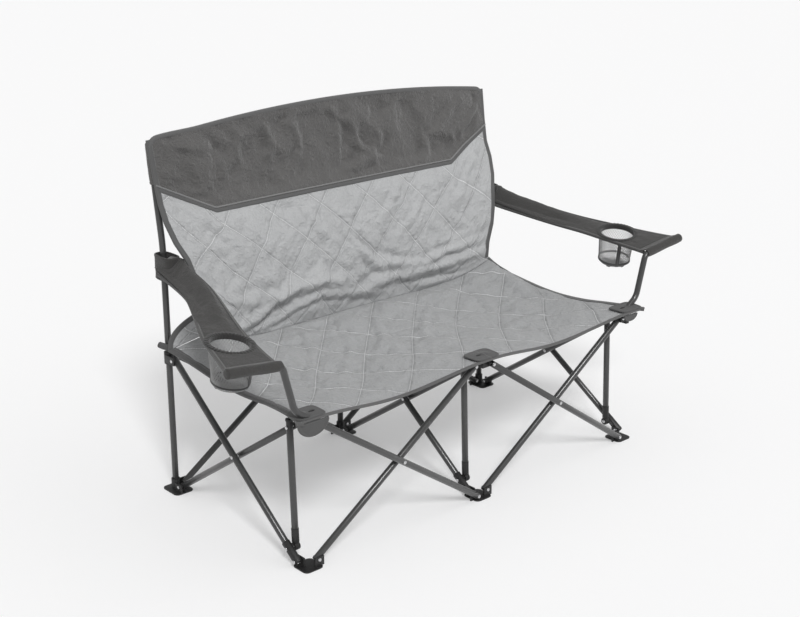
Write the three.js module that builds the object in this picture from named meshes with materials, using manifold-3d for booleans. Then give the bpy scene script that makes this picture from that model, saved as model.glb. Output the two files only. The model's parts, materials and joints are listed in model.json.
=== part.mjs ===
// A two-seat folding camp chair: six feet, crossed steel tubes between them, three rear uprights
// with sliding collars, telescoping front posts, and a padded fabric seat, back and armrests.
// Millimetres, +Z up, +X to the sitter's left as seen from the front, the front row towards -Y.
import * as THREE from "three";
import { mergeVertices } from "three/addons/utils/BufferGeometryUtils.js";
import Module from "manifold-3d";

const wasm = await Module();
wasm.setup();

// Linkage. Every crossed tube has the same length between its end pivots and the same tilt, so
// width, depth and height all follow from these.
const strutPitch = 602;
const strutTilt = 34.4;
const pivotHeight = 15;
const endOffset = 21.6;
const frontSetback = 18;
const rearSetback = 30;

// Tubes and pins.
const tubeDiameter = 16;
const tubeWall = 1;
const tubeSides = 12;
const boreSides = 6;
const tubeOverrun = 5;
const hubOverrun = 2.6;
const layerGap = 1;
const sideLayer = 19.5;
const pinDiameter = 5;
const pinSides = 4;
const holeSides = 6;
const headSides = 6;
const simplified = 0.01;
const headDiameter = 9;
const headHeight = 1.8;
const headSink = 0.4;
const pinClearance = 0.5;
const fitGap = 0.3;
const lugGap = 0.9;
const hubGap = 2.1;

// Posts.
const postTopInset = 50;
const postFootInset = 36;
const postAbovePivot = 14;
const postSleeveTop = 44;
const postSleeveStart = 12;
const sleeveDiameter = 18;
const rodDiameter = 9;
const rodTopInset = 9.7;
const eyeDiameter = 20;
const eyeWidth = 13;
const capHeight = 5;
const capDiameter = 18.6;
const plugLength = 6;

// Uprights and sliding collars.
const uprightTopInset = 46;
const uprightBendInset = 290;
const uprightBendRadius = 450;
const uprightLean = 8.2;
const uprightFloorGap = 5;
const collarHeight = 30;
const collarWall = 3.2;
const collarClearance = 0.5;
const lugThickness = 4;
const lugHeight = 20;
const lugReach = 10;

// Feet and hubs.
const footBaseThickness = 3;
const footWidth = 54;
const footFrontReach = 24;
const footRearReach = 30;
const footCornerRadius = 12;
const footEarHeight = 23;
const footEarLength = 26;
const socketHeight = 28;
const socketWall = 2.8;
const knuckleLength = 34;
const knuckleWall = 1.8;
const hubHeight = 18;
const hubDepth = 24;
const hubSideReach = 12;
const hubFlange = 5;
const bossDiameter = 26;
const bossSetback = 7;

// Arm tubes.
const armBendReach = 78;
const armBendRadius = 42;
const armRise = 118;
const armLean = 15;
const armTopRadius = 22;
const armHemLength = 142;
const armHemRise = 7;

// Fabric.
const fabricThin = 4;
const seamGap = 0.6;
const quiltRise = 5;
const quiltStep = 39;
const seatRise = 18.9;
const seatCornerReach = 46;
const seatCornerShare = 0.3;
const seatWaistReach = 8;
const seatFrontReach = 28;
const seatFrontHollow = 16;
const seatFrontSag = 26;
const seatSag = 20;
const seatCreasePlaceShare = 0.508;
const seatRearInset = 52.7;
const seatRearDrop = 36;
const seatRearRise = 54;
const seatWingShare = 0.86;
const seatWingReachShare = 0.878;
const seatRearCornerInset = 13.7;
const seatRearCornerRise = 2;
const backBulge = 34;
const backSideDraw = 76;
const backSideReach = 102;
const backRise = 556;
const backTopDrop = 37;
const bandDepth = 224;
const bandSideDepth = 152;
const bandFlatHalfWidth = 395;
const bandRows = 5;
const pocketWall = 2.5;
const pocketLength = 96;
const middlePocketLength = 60;
const armrestThickness = 5;
const armrestRearRise = 214;
const armrestRearInset = 58.7;
const armrestFrontHalfWidth = 69;
const armrestRearHalfWidth = 42;
const armrestDroop = 5;
const armrestWaistShare = 0.25;
const armrestWaistPlaceShare = 0.85;
const armrestWaistSpreadShare = 0.14;
const hemSleeveWall = 2.5;
const hemSleeveStart = 24;
const hemSleeveEnd = 4;
const loopWall = 3;
const loopHeight = 56;
const loopHalfWidth = 16;
const loopLength = 80;
const ringDiameter = 113;
const ringOpening = 91;
const ringPlate = 3;
const ringCollarDepth = 10;
const ringSetback = 124;
const ringSides = 24;
const netWall = 1.6;
const netDepth = 82;
const netTaper = 6;
const netRound = 14;
const patchHalfLength = 40;
const patchHalfWidth = 30;
const patchCorner = 14;
const patchThickness = 2;
const patchSamples = 8;
const pocketDrop = 42;
const pocketHalfWidth = 44;
const pocketThickness = 3;
const cutOverrun = 2;

// Values that follow from the sizes above.
const tilt = THREE.MathUtils.degToRad(strutTilt);
const span = strutPitch * Math.cos(tilt);
const rise = strutPitch * Math.sin(tilt);
const bayPitch = span + endOffset + endOffset;
const frameDepth = frontSetback + span + rearSetback;
const topHeight = pivotHeight + rise;
const tubeRadius = tubeDiameter / 2;
const boreRadius = tubeRadius - tubeWall;
const headSeat = tubeRadius - headSink;
const sideHubReach = tubeRadius + hubGap;
const sideLugReach = tubeRadius + lugGap;
const pinRadius = pinDiameter / 2;
const layer = tubeDiameter + layerGap;
const rearPivotY = frontSetback + span;
const seatHeight = topHeight + seatRise;
const seatRearY = frameDepth - seatRearInset;
const seatCrease = seatRearY * seatCreasePlaceShare;
const seatRearCornerY = frameDepth - seatRearCornerInset;
const seatRearCornerHeight = seatHeight + seatRearCornerRise;
const seatWingHalfWidth = bayPitch * seatWingReachShare;
const backTopHeight = seatHeight + backRise;
const armrestRearY = frameDepth - armrestRearInset;
const armrestRearHeight = seatHeight + armrestRearRise;
const bandHeight = backTopHeight - bandDepth;
const bandSideHeight = backTopHeight - bandSideDepth;
const uprightHeight = backTopHeight - uprightTopInset;
const uprightBendHeight = backTopHeight - uprightBendInset;
const rearFrontLayer = frameDepth - layer / 2;
const rearBackLayer = frameDepth + layer / 2;
const axisX = new THREE.Vector3(1, 0, 0);
const axisY = new THREE.Vector3(0, 1, 0);
const axisZ = new THREE.Vector3(0, 0, 1);

// Paints and plastics.
const steel = new THREE.MeshStandardMaterial({ color: 0x55565a, roughness: 0.38, metalness: 0.6 });
const plastic = new THREE.MeshStandardMaterial({ color: 0x202124, roughness: 0.55, metalness: 0 });
const bright = new THREE.MeshStandardMaterial({ color: 0xb8babd, roughness: 0.3, metalness: 0.9 });
const seatCloth = new THREE.MeshStandardMaterial({ color: 0x9a9c9c, roughness: 0.85, metalness: 0 });
const backCloth = new THREE.MeshStandardMaterial({ color: 0xb9bcbc, roughness: 0.85, metalness: 0 });
const darkCloth = new THREE.MeshStandardMaterial({ color: 0x5c595a, roughness: 0.85, metalness: 0 });
const netCloth = new THREE.MeshStandardMaterial({ color: 0x8d8f90, roughness: 0.9, metalness: 0 });

function point(x, y, z) {
  return new THREE.Vector3(x, y, z);
}

// A closed geometry as a solid that can be cut and joined.
function solidOf(geometry) {
  const bare = new THREE.BufferGeometry();
  bare.setAttribute("position", geometry.getAttribute("position").clone());
  if (geometry.index) bare.setIndex(geometry.index.clone());
  const merged = mergeVertices(bare, 1e-4);
  const kept = [];
  const index = merged.index.array;
  for (let i = 0; i < index.length; i += 3) {
    const [a, b, c] = [index[i], index[i + 1], index[i + 2]];
    if (a !== b && b !== c && c !== a) kept.push(a, b, c);
  }
  const vertProperties = new Float32Array(merged.getAttribute("position").array);
  const mesh = new wasm.Mesh({ numProp: 3, vertProperties, triVerts: new Uint32Array(kept) });
  return new wasm.Manifold(mesh);
}

function geometryOf(solid) {
  const mesh = solid.getMesh();
  const geometry = new THREE.BufferGeometry();
  geometry.setAttribute("position", new THREE.BufferAttribute(new Float32Array(mesh.vertProperties), 3));
  geometry.setIndex(new THREE.BufferAttribute(new Uint32Array(mesh.triVerts), 1));
  geometry.computeVertexNormals();
  return geometry;
}

function joined(...solids) {
  return solids.reduce((sum, solid) => sum.add(solid));
}

function cut(solid, ...tools) {
  return tools.reduce((left, tool) => left.subtract(tool), solid);
}

// Turns a geometry built along +Y so that it runs from a to b, with its middle half way.
function laid(geometry, a, b) {
  const along = b.clone().sub(a).normalize();
  geometry.applyQuaternion(new THREE.Quaternion().setFromUnitVectors(axisY, along));
  const middle = a.clone().add(b).multiplyScalar(0.5);
  return geometry.translate(middle.x, middle.y, middle.z);
}

function rod(a, b, radius, sides = tubeSides) {
  return solidOf(laid(new THREE.CylinderGeometry(radius, radius, a.distanceTo(b), sides), a, b));
}

// A hollow round tube, open at both ends.
function pipe(a, b, outer, inner, innerSides = boreSides) {
  const bore = rod(onward(b, a, cutOverrun), onward(a, b, cutOverrun), inner, innerSides);
  return cut(rod(a, b, outer), bore);
}

function block(low, high) {
  const size = high.clone().sub(low);
  const middle = low.clone().add(high).multiplyScalar(0.5);
  const box = new THREE.BoxGeometry(size.x, size.y, size.z);
  return solidOf(box.translate(middle.x, middle.y, middle.z));
}

function onward(from, to, distance) {
  return to.clone().add(to.clone().sub(from).normalize().multiplyScalar(distance));
}

function between(a, b, distance) {
  return a.clone().add(b.clone().sub(a).normalize().multiplyScalar(distance));
}

// A rivet through `at`, running along `axis` from `back` to `front`, with a round head at each end.
function rivet(at, axis, back, front) {
  const a = at.clone().addScaledVector(axis, back);
  const b = at.clone().addScaledVector(axis, front);
  const headA = a.clone().addScaledVector(axis, -headHeight);
  const headB = b.clone().addScaledVector(axis, headHeight);
  const insideA = a.clone().addScaledVector(axis, -headHeight / 2);
  const insideB = b.clone().addScaledVector(axis, headHeight / 2);
  return joined(
    rod(insideA, insideB, pinRadius, pinSides),
    rod(headA, a, headDiameter / 2, headSides),
    rod(b, headB, headDiameter / 2, headSides),
  );
}

function rivetHole(at, axis, back, front) {
  const a = at.clone().addScaledVector(axis, back);
  const b = at.clone().addScaledVector(axis, front);
  return rod(a, b, pinRadius + pinClearance, holeSides);
}

function strut(a, b, farOverrun = tubeOverrun) {
  return pipe(onward(b, a, tubeOverrun), onward(a, b, farOverrun), tubeRadius, boreRadius);
}

// A bent route as its corner points, each with a bend radius, sampled only where it bends.
class BentRoute extends THREE.Curve {
  constructor(corners, radii, bendSteps) {
    super();
    this.stations = [corners[0]];
    corners.slice(1, -1).forEach((corner, i) => {
      const back = corners[i].clone().sub(corner).normalize();
      const on = corners[i + 2].clone().sub(corner).normalize();
      const half = back.angleTo(on) / 2;
      const reach = radii[i] / Math.tan(half);
      const inward = back.clone().add(on).normalize();
      const centre = corner.clone().addScaledVector(inward, radii[i] / Math.sin(half));
      const from = corner.clone().addScaledVector(back, reach).sub(centre);
      const to = corner.clone().addScaledVector(on, reach).sub(centre);
      const turn = from.angleTo(to);
      const axis = from.clone().cross(to).normalize();
      for (let k = 0; k <= bendSteps; k += 1) {
        const arm = from.clone().applyAxisAngle(axis, (turn * k) / bendSteps);
        this.stations.push(centre.clone().add(arm));
      }
    });
    this.stations.push(corners[corners.length - 1]);
  }

  get steps() {
    return this.stations.length - 1;
  }

  getPoint(t) {
    const place = Math.min(t * this.steps, this.steps - 1e-9);
    const i = Math.floor(place);
    return this.stations[i].clone().lerp(this.stations[i + 1], place - i);
  }

  getPointAt(t) {
    return this.getPoint(t);
  }

  getTangentAt(t) {
    const i = Math.round(t * this.steps);
    const before = this.stations[Math.max(i - 1, 0)];
    const after = this.stations[Math.min(i + 1, this.steps)];
    return after.clone().sub(before).normalize();
  }

  getSpacedPoints() {
    return this.stations.map((station) => station.clone());
  }
}

function bentPipe(route) {
  const ringOf = (radius, sides) => {
    const turns = Array.from({ length: sides }, (_, i) => (2 * Math.PI * i) / sides);
    return turns.map((turn) => new THREE.Vector2(Math.cos(turn) * radius, Math.sin(turn) * radius));
  };
  const section = new THREE.Shape(ringOf(tubeRadius, tubeSides));
  section.holes.push(new THREE.Path(ringOf(boreRadius, boreSides).reverse()));
  const settings = { steps: route.steps, extrudePath: route, curveSegments: 1 };
  return solidOf(new THREE.ExtrudeGeometry(section, settings));
}

// A sheet of cloth from a grid of middle points, with a thickness at each point.
function sheet(columns, rows, middleAt, thicknessAt) {
  const wide = columns + 1;
  const places = [];
  for (let j = 0; j <= rows; j += 1) {
    for (let i = 0; i <= columns; i += 1) places.push(middleAt(i / columns, j / rows));
  }
  const at = (i, j) => places[Math.min(Math.max(j, 0), rows) * wide + Math.min(Math.max(i, 0), columns)];
  const tops = [];
  const bottoms = [];
  for (let j = 0; j <= rows; j += 1) {
    for (let i = 0; i <= columns; i += 1) {
      const across = at(i + 1, j).clone().sub(at(i - 1, j));
      const along = at(i, j + 1).clone().sub(at(i, j - 1));
      const normal = across.cross(along).normalize();
      const half = thicknessAt(i, j) / 2;
      tops.push(at(i, j).clone().addScaledVector(normal, half));
      bottoms.push(at(i, j).clone().addScaledVector(normal, -half));
    }
  }
  const count = tops.length;
  const index = [];
  const quad = (a, b, c, d) => index.push(a, b, c, a, c, d);
  for (let j = 0; j < rows; j += 1) {
    for (let i = 0; i < columns; i += 1) {
      const a = j * wide + i;
      const [b, c, d] = [a + 1, a + wide + 1, a + wide];
      if ((i + j) % 2) index.push(a, b, d, b, c, d);
      else quad(a, b, c, d);
      if ((i + j) % 2) index.push(count + a, count + d, count + b, count + b, count + d, count + c);
      else quad(count + a, count + d, count + c, count + b);
    }
  }
  for (let i = 0; i < columns; i += 1) {
    const far = rows * wide + i;
    quad(i + 1, i, count + i, count + i + 1);
    quad(far, far + 1, count + far + 1, count + far);
  }
  for (let j = 0; j < rows; j += 1) {
    const left = j * wide;
    const right = left + columns;
    quad(left, left + wide, count + left + wide, count + left);
    quad(right + wide, right, count + right, count + right + wide);
  }
  const geometry = new THREE.BufferGeometry().setFromPoints([...tops, ...bottoms]);
  geometry.setIndex(index);
  return solidOf(geometry);
}

// Diamond quilting: full between the stitch lines, thin on them. The lines run at 45 degrees
// through the points of the cloth's grid, so that every fourth diagonal is a stitch line.
function quilted(column, row) {
  const a = Math.abs(Math.sin((Math.PI * (column + row)) / 4));
  const b = Math.abs(Math.sin((Math.PI * (column - row)) / 4));
  return fabricThin + quiltRise * Math.min(a, b);
}

// Sags to a lowest point half way and back.
function bowl(share) {
  return Math.sin(Math.PI * share) ** 2;
}

function mix(a, b, share) {
  return a + (b - a) * share;
}

// Seat. u runs from -1 at the sitter's right to 1, v from the front hem to the back.
function seatSide(v) {
  const waist = bayPitch + seatWaistReach;
  const front = bayPitch + seatCornerReach;
  return mix(front, waist, Math.min(Math.max(v, 0) / seatCornerShare, 1) ** 0.6);
}

function seatFrontY(x) {
  return -seatFrontReach + seatFrontHollow * Math.sin((Math.PI * x) / bayPitch) ** 2;
}

function seatRear(u) {
  const side = Math.abs(u);
  if (side <= seatWingShare) {
    const share = side / seatWingShare;
    const y = seatRearY - seatRearDrop * share ** 2;
    return point(u / seatWingShare * seatWingHalfWidth, y, seatHeight + seatRearRise * share ** 5);
  }
  const share = (side - seatWingShare) / (1 - seatWingShare);
  const innerHeight = seatHeight + seatRearRise;
  const x = mix(seatWingHalfWidth, bayPitch + seatWaistReach, share);
  const y = mix(seatRearY - seatRearDrop, seatRearCornerY, share);
  return point(Math.sign(u) * x, y, mix(innerHeight, seatRearCornerHeight, share));
}

function seatPoint(u, v) {
  const rear = seatRear(u);
  const x = mix(u * seatSide(v), rear.x, v ** 4);
  const y = mix(seatFrontY(x), rear.y, v);
  const hem = seatFrontSag * Math.sin((Math.PI * x) / bayPitch) ** 2 * (1 - v);
  const lift = (rear.z - seatHeight) * v ** 4;
  return point(x, y, seatHeight - hem - seatSag * bowl(v) + lift);
}

function seatShareAt(x, y) {
  return (y - seatFrontY(x)) / (seatRearY - seatFrontY(x));
}

const creaseShare = seatShareAt(0, seatCrease);
const quiltColumns = 2 * Math.round(bayPitch / quiltStep);
const seatRows = Math.round(seatCrease / quiltStep);

function seatMiddleHeight(x, y) {
  return seatPoint(x / seatSide(seatShareAt(x, y)), seatShareAt(x, y)).z;
}

// Back. The edges leave the uprights below the top band and come forward and in towards the seat.
// Each row is a height as a share from the seat to the top, with the edge's reach past the bay
// pitch and its place behind the front row.
const backEdgeShares = [
  [0, -0.87, -0.91],
  [0.12, -1, -0.99],
  [0.2, -0.97, -1],
  [0.29, -0.61, -0.88],
  [0.37, -0.42, -0.78],
  [0.46, -0.28, -0.65],
  [0.54, -0.05, -0.46],
  [0.63, 0.08, -0.24],
  [0.71, 0.09, -0.04],
  [0.83, 0.12, 0.09],
  [1, 0.17, 0.24],
];

function backEdge(share) {
  let i = 0;
  while (i < backEdgeShares.length - 2 && share > backEdgeShares[i + 1][0]) i += 1;
  const [low, high] = [backEdgeShares[i], backEdgeShares[i + 1]];
  const part = (share - low[0]) / (high[0] - low[0]);
  return {
    x: bayPitch + backSideDraw * mix(low[1], high[1], part),
    y: frameDepth + backSideReach * mix(low[2], high[2], part),
  };
}

function backTop(x) {
  return backTopHeight - backTopDrop * (x / bayPitch) ** 2;
}

function backBottom(x) {
  const share = Math.min(Math.abs(x) / seatWingHalfWidth, 1);
  return seatHeight + seatRearRise * share ** 5 + (fabricThin + quiltRise) / 2 + 4 * fitGap;
}

function bandEdge(x) {
  const beyond = Math.max(Math.abs(x) - bandFlatHalfWidth, 0);
  return bandHeight + ((bandSideHeight - bandHeight) * beyond) / (bayPitch - bandFlatHalfWidth);
}

// A point of the back's middle surface at a sideways share s and a height z.
function backPoint(s, z) {
  const share = (z - seatHeight) / (backTopHeight - backTopDrop - seatHeight);
  const edge = backEdge(Math.min(Math.max(share, 0), 1));
  const bulge = (1 - s * s) * mix(backBulge, 0, Math.min(Math.max(share, 0), 1) ** 0.7);
  return point(s * edge.x, edge.y + bulge, z);
}

function backSheet(columns, rows, lowAt, highAt) {
  const middleAt = (u, v) => {
    const s = mix(-1, 1, u);
    let z = backTopHeight;
    let x = s * bayPitch;
    for (let turn = 0; turn < 6; turn += 1) {
      z = mix(lowAt(x), highAt(x), v);
      x = backPoint(s, z).x;
    }
    return backPoint(s, z);
  };
  return { columns, rows, middleAt };
}

function quiltSheet({ columns, rows, middleAt }, full) {
  return sheet(columns, rows, middleAt, (i, j) => (full ? quilted(i, j) : fabricThin + 1));
}

// The pocket of the top band that an upright's end stands in.
function bandPocket(x, length) {
  const lean = THREE.MathUtils.degToRad(uprightLean);
  const up = point(0, Math.sin(lean), Math.cos(lean));
  const bend = point(x, frameDepth, uprightBendHeight);
  const end = bend.clone().addScaledVector(up, (uprightHeight - uprightBendHeight) / Math.cos(lean));
  const low = end.clone().addScaledVector(up, -length);
  const bore = tubeRadius + fitGap;
  const wall = rod(low, end.clone().addScaledVector(up, pocketWall), bore + pocketWall);
  const hollow = rod(bend, end.clone().addScaledVector(up, fitGap), bore);
  return { wall, hollow };
}

// Armrest. t runs from the front hem to the rear, w across from the inner edge to the outer.
function armrestPoint(side, t, w) {
  const front = armCorners(side, frontLayerOf(side));
  const hemMiddle = front[2].clone().add(front[3]).multiplyScalar(0.5);
  const startY = front[2].y + tubeRadius + fitGap + hemSleeveWall / 2;
  const half = mix(armrestFrontHalfWidth, armrestRearHalfWidth, t ** 0.6);
  const fromWaist = (t - armrestWaistPlaceShare) / armrestWaistSpreadShare;
  const waist = armrestWaistShare * half * Math.exp(-(fromWaist ** 2));
  const middleX = mix(Math.abs(hemMiddle.x), bayPitch + loopHalfWidth, t);
  const x = middleX + (w - 0.5) * 2 * (half - waist);
  const height = mix(hemMiddle.z, armrestRearHeight, t ** 1.1);
  const tiltRise = (w - 0.5) * (front[3].z - front[2].z) * (1 - t) ** 2;
  const droop = armrestDroop * (2 * w - 1) ** 2 * Math.sin(Math.PI * t);
  return point(side * x, mix(startY, armrestRearY, t), height + tiltRise - droop);
}

function frontLayerOf(side) {
  return side < 0 ? -layer : 0;
}

function armCorners(side, y) {
  const pivot = point(side * (bayPitch - endOffset), y, topHeight);
  const rising = point(side * Math.cos(tilt), 0, Math.sin(tilt));
  const first = pivot.clone().addScaledVector(rising, armBendReach);
  const lean = THREE.MathUtils.degToRad(armLean);
  const leaning = point(side * Math.sin(lean), 0, Math.cos(lean));
  const second = first.clone().addScaledVector(leaning, armRise);
  const hem = THREE.MathUtils.degToRad(armHemRise);
  const outward = point(side * Math.cos(hem), 0, Math.sin(hem));
  const third = second.clone().addScaledVector(outward, armHemLength);
  return [pivot, first, second, third];
}

const object = new THREE.Group();
const bodies = new Map();

// Adds a named mesh to the group of its moving body. The group stands at the body's pivot.
function place(bodyName, pivot, name, solid, material) {
  if (!bodies.has(bodyName)) {
    const group = new THREE.Group();
    group.name = bodyName;
    group.position.copy(pivot);
    bodies.set(bodyName, group);
    object.add(group);
  }
  const group = bodies.get(bodyName);
  const tidy = solid.asOriginal().simplify(simplified);
  const geometry = geometryOf(tidy).translate(-group.position.x, -group.position.y, -group.position.z);
  const mesh = new THREE.Mesh(geometry, material);
  mesh.name = name;
  group.add(mesh);
}

// Feet.
function footBase(x, yFront, yRear) {
  const shape = new THREE.Shape();
  const [w, f, r, c] = [footWidth / 2, yFront, yRear, footCornerRadius];
  shape.moveTo(-w + c, f);
  shape.lineTo(w - c, f);
  shape.absarc(w - c, f + c, c, -Math.PI / 2, 0);
  shape.lineTo(w, r - c);
  shape.absarc(w - c, r - c, c, 0, Math.PI / 2);
  shape.lineTo(-w + c, r);
  shape.absarc(-w + c, r - c, c, Math.PI / 2, Math.PI);
  shape.lineTo(-w, f + c);
  shape.absarc(-w + c, f + c, c, Math.PI, 1.5 * Math.PI);
  const settings = { depth: footBaseThickness, bevelEnabled: false, curveSegments: 4 };
  return solidOf(new THREE.ExtrudeGeometry(shape, settings).translate(x, 0, 0));
}

// An upright ear of a foot, facing along Y, for a tube whose pivot is at (x, z).
function crossEar(x, yLow, yHigh) {
  const half = footEarLength / 2;
  const low = point(x - half, yLow, 0);
  return cut(
    block(low, point(x + half, yHigh, footEarHeight)),
    rivetHole(point(x, yLow, pivotHeight), axisY, -cutOverrun, yHigh - yLow + cutOverrun),
  );
}

function sideEar(x, side, y) {
  const half = footEarLength / 2;
  const inner = Math.min(x, x + side * lugThickness);
  const outer = Math.max(x, x + side * lugThickness);
  return cut(
    block(point(inner, y - half, 0), point(outer, y + half, footEarHeight)),
    rivetHole(point(inner, y, pivotHeight), axisX, -cutOverrun, outer - inner + cutOverrun),
  );
}

function frontFoot(name, x, out, ears) {
  const pieces = [footBase(x, -footFrontReach, footRearReach)];
  ears.forEach(([offset, lowY]) => pieces.push(crossEar(x + offset, lowY, lowY + lugThickness)));
  const earX = x + out * (sideLayer - tubeRadius - lugGap - lugThickness);
  pieces.push(sideEar(earX, out, frontSetback));
  return joined(...pieces);
}

function rearFoot(x, out, ears) {
  const front = rearPivotY - footEarLength / 2;
  const pieces = [
    footBase(x, front, frameDepth + footFrontReach),
    pipe(
      point(x, frameDepth, 0),
      point(x, frameDepth, socketHeight),
      tubeRadius + fitGap + socketWall,
      tubeRadius + fitGap,
      tubeSides,
    ),
  ];
  ears.forEach(([offset, lowY]) => pieces.push(crossEar(x + offset, lowY, lowY + lugThickness)));
  pieces.push(sideEar(x + out * (tubeRadius + lugGap), out, rearPivotY));
  const seat = rod(
    point(x, frameDepth, footBaseThickness),
    point(x, frameDepth, socketHeight + cutOverrun),
    tubeRadius + fitGap,
  );
  return cut(joined(...pieces), seat);
}

// Side frames: one at each end and one in the middle. `out` is the side that the lower front end
// of the front tube lies on.
const sideFrames = [
  { label: "left", x: -bayPitch, out: -1 },
  { label: "center", x: 0, out: -1 },
  { label: "right", x: bayPitch, out: 1 },
];

function sideFrame({ label, x, out }) {
  const slideLow = point(x + out * sideLayer, frontSetback, pivotHeight);
  const slideHigh = point(x, rearPivotY, topHeight);
  const hubLow = point(x, rearPivotY, pivotHeight);
  const hubHigh = point(x - out * sideLayer, frontSetback, topHeight);
  const middleA = slideLow.clone().add(slideHigh).multiplyScalar(0.5);
  const middleB = hubLow.clone().add(hubHigh).multiplyScalar(0.5);
  const outward = axisX.clone().multiplyScalar(out);
  const postTop = between(hubHigh, hubLow, postTopInset).setX(x);
  const postFoot = between(slideLow, slideHigh, postFootInset).setX(x);
  const upward = postTop.clone().sub(postFoot).normalize();

  // The tube from the front foot up to the collar on the upright.
  const bootRivetReach = tubeRadius + knuckleWall + 2 * fitGap;
  const eyePlace = between(slideLow, slideHigh, postFootInset);
  const reach = middleA.x - middleB.x;
  const frontTube = joined(
    strut(slideLow, slideHigh),
    rivet(slideLow, outward, -sideLugReach - lugThickness - fitGap, bootRivetReach),
    rivet(middleA, outward, -Math.abs(reach) - tubeRadius - fitGap, headSeat),
    rivet(slideHigh, outward, -headSeat, sideLugReach + lugThickness + fitGap),
    rivet(eyePlace, outward, -sideLayer - eyeWidth / 2, bootRivetReach),
  );
  place(`side_front_${label}`, slideLow, `side_strut_front_${label}`, frontTube, steel);

  // The plastic end fitting on that tube.
  const bootA = onward(slideHigh, slideLow, tubeOverrun + fitGap);
  const bootB = between(slideLow, slideHigh, postFootInset + knuckleLength / 2);
  const flatX = slideLow.x - out * (tubeRadius + fitGap / 2);
  const pastX = flatX - out * tubeDiameter;
  const boot = cut(
    rod(bootA, bootB, tubeRadius + fitGap + knuckleWall),
    rod(onward(bootB, bootA, cutOverrun), onward(bootA, bootB, cutOverrun), tubeRadius + fitGap),
    rivetHole(slideLow, outward, -tubeDiameter, tubeDiameter),
    rivetHole(eyePlace, outward, -tubeDiameter, tubeDiameter),
    block(
      point(Math.min(flatX, pastX), -tubeDiameter, -tubeDiameter),
      point(Math.max(flatX, pastX), frameDepth, topHeight),
    ),
  );
  place(`side_front_${label}`, slideLow, `strut_boot_${label}`, boot, plastic);

  // The tube from the rear foot up to the front hub.
  const rearTube = cut(
    joined(
      strut(hubLow, hubHigh, hubOverrun),
      rivet(hubLow, outward, -headSeat, sideLugReach + lugThickness + fitGap),
      rivet(hubHigh, outward, -headSeat, sideHubReach + hubSideReach + fitGap),
      rivet(between(hubHigh, hubLow, postTopInset), outward, -headSeat, sideLayer + tubeRadius),
    ),
    rivetHole(middleB, outward, -tubeRadius - cutOverrun, tubeRadius + cutOverrun),
  );
  place(`side_rear_${label}`, hubLow, `side_strut_rear_${label}`, rearTube, steel);

  // The telescoping post: an outer tube under the hub and a rod that stands on the front tube.
  const outerFoot = postFoot.clone().addScaledVector(upward, postSleeveTop + fitGap);
  const outerTop = postTop.clone().addScaledVector(upward, postAbovePivot);
  const outerTube = cut(
    pipe(outerFoot, outerTop, tubeRadius, boreRadius, tubeSides),
    rivetHole(postTop, outward, -tubeRadius - cutOverrun, tubeRadius + cutOverrun),
  );
  place(`post_${label}`, postTop, `front_post_${label}`, outerTube, steel);
  const plugTop = outerTop.clone().addScaledVector(upward, fitGap);
  const cap = joined(
    rod(plugTop, plugTop.clone().addScaledVector(upward, capHeight), capDiameter / 2),
    rod(
      plugTop.clone().addScaledVector(upward, -plugLength),
      plugTop.clone().addScaledVector(upward, capHeight / 2),
      boreRadius - fitGap,
      boreSides,
    ),
  );
  place(`post_${label}`, postTop, `post_cap_${label}`, cap, plastic);
  const sleeveTop = postFoot.clone().addScaledVector(upward, postSleeveTop);
  const sleeveFoot = postFoot.clone().addScaledVector(upward, postSleeveStart - cutOverrun);
  const boreFoot = postFoot.clone().addScaledVector(upward, eyeDiameter / 2 + fitGap);
  const eyeA = postFoot.clone().addScaledVector(axisX, -eyeWidth / 2);
  const eyeB = postFoot.clone().addScaledVector(axisX, eyeWidth / 2);
  const shoe = cut(
    joined(
      rod(sleeveFoot, sleeveTop, sleeveDiameter / 2),
      rod(eyeA, eyeB, eyeDiameter / 2),
      rod(postFoot, sleeveFoot.clone().addScaledVector(upward, cutOverrun), eyeWidth / 2),
    ),
    rivetHole(postFoot, axisX, -sideLayer, sideLayer),
    rod(boreFoot, onward(postFoot, sleeveTop, cutOverrun), rodDiameter / 2 + fitGap),
  );
  place(`post_rod_${label}`, postFoot, `post_shoe_${label}`, shoe, plastic);
  const innerRod = rod(
    postFoot.clone().addScaledVector(upward, eyeDiameter / 2 + 2 * fitGap),
    postTop.clone().addScaledVector(upward, -rodTopInset),
    rodDiameter / 2,
  );
  place(`post_rod_${label}`, postFoot, `post_rod_${label}`, innerRod, bright);
}

// Uprights and their collars.
function upright(x) {
  const lean = THREE.MathUtils.degToRad(uprightLean);
  const corner = point(x, frameDepth, uprightBendHeight);
  const top = corner.clone().add(
    point(0, Math.tan(lean), 1).multiplyScalar(uprightHeight - uprightBendHeight),
  );
  const foot = point(x, frameDepth, uprightFloorGap);
  return new BentRoute([foot, corner, top], [uprightBendRadius], 3);
}

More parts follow.
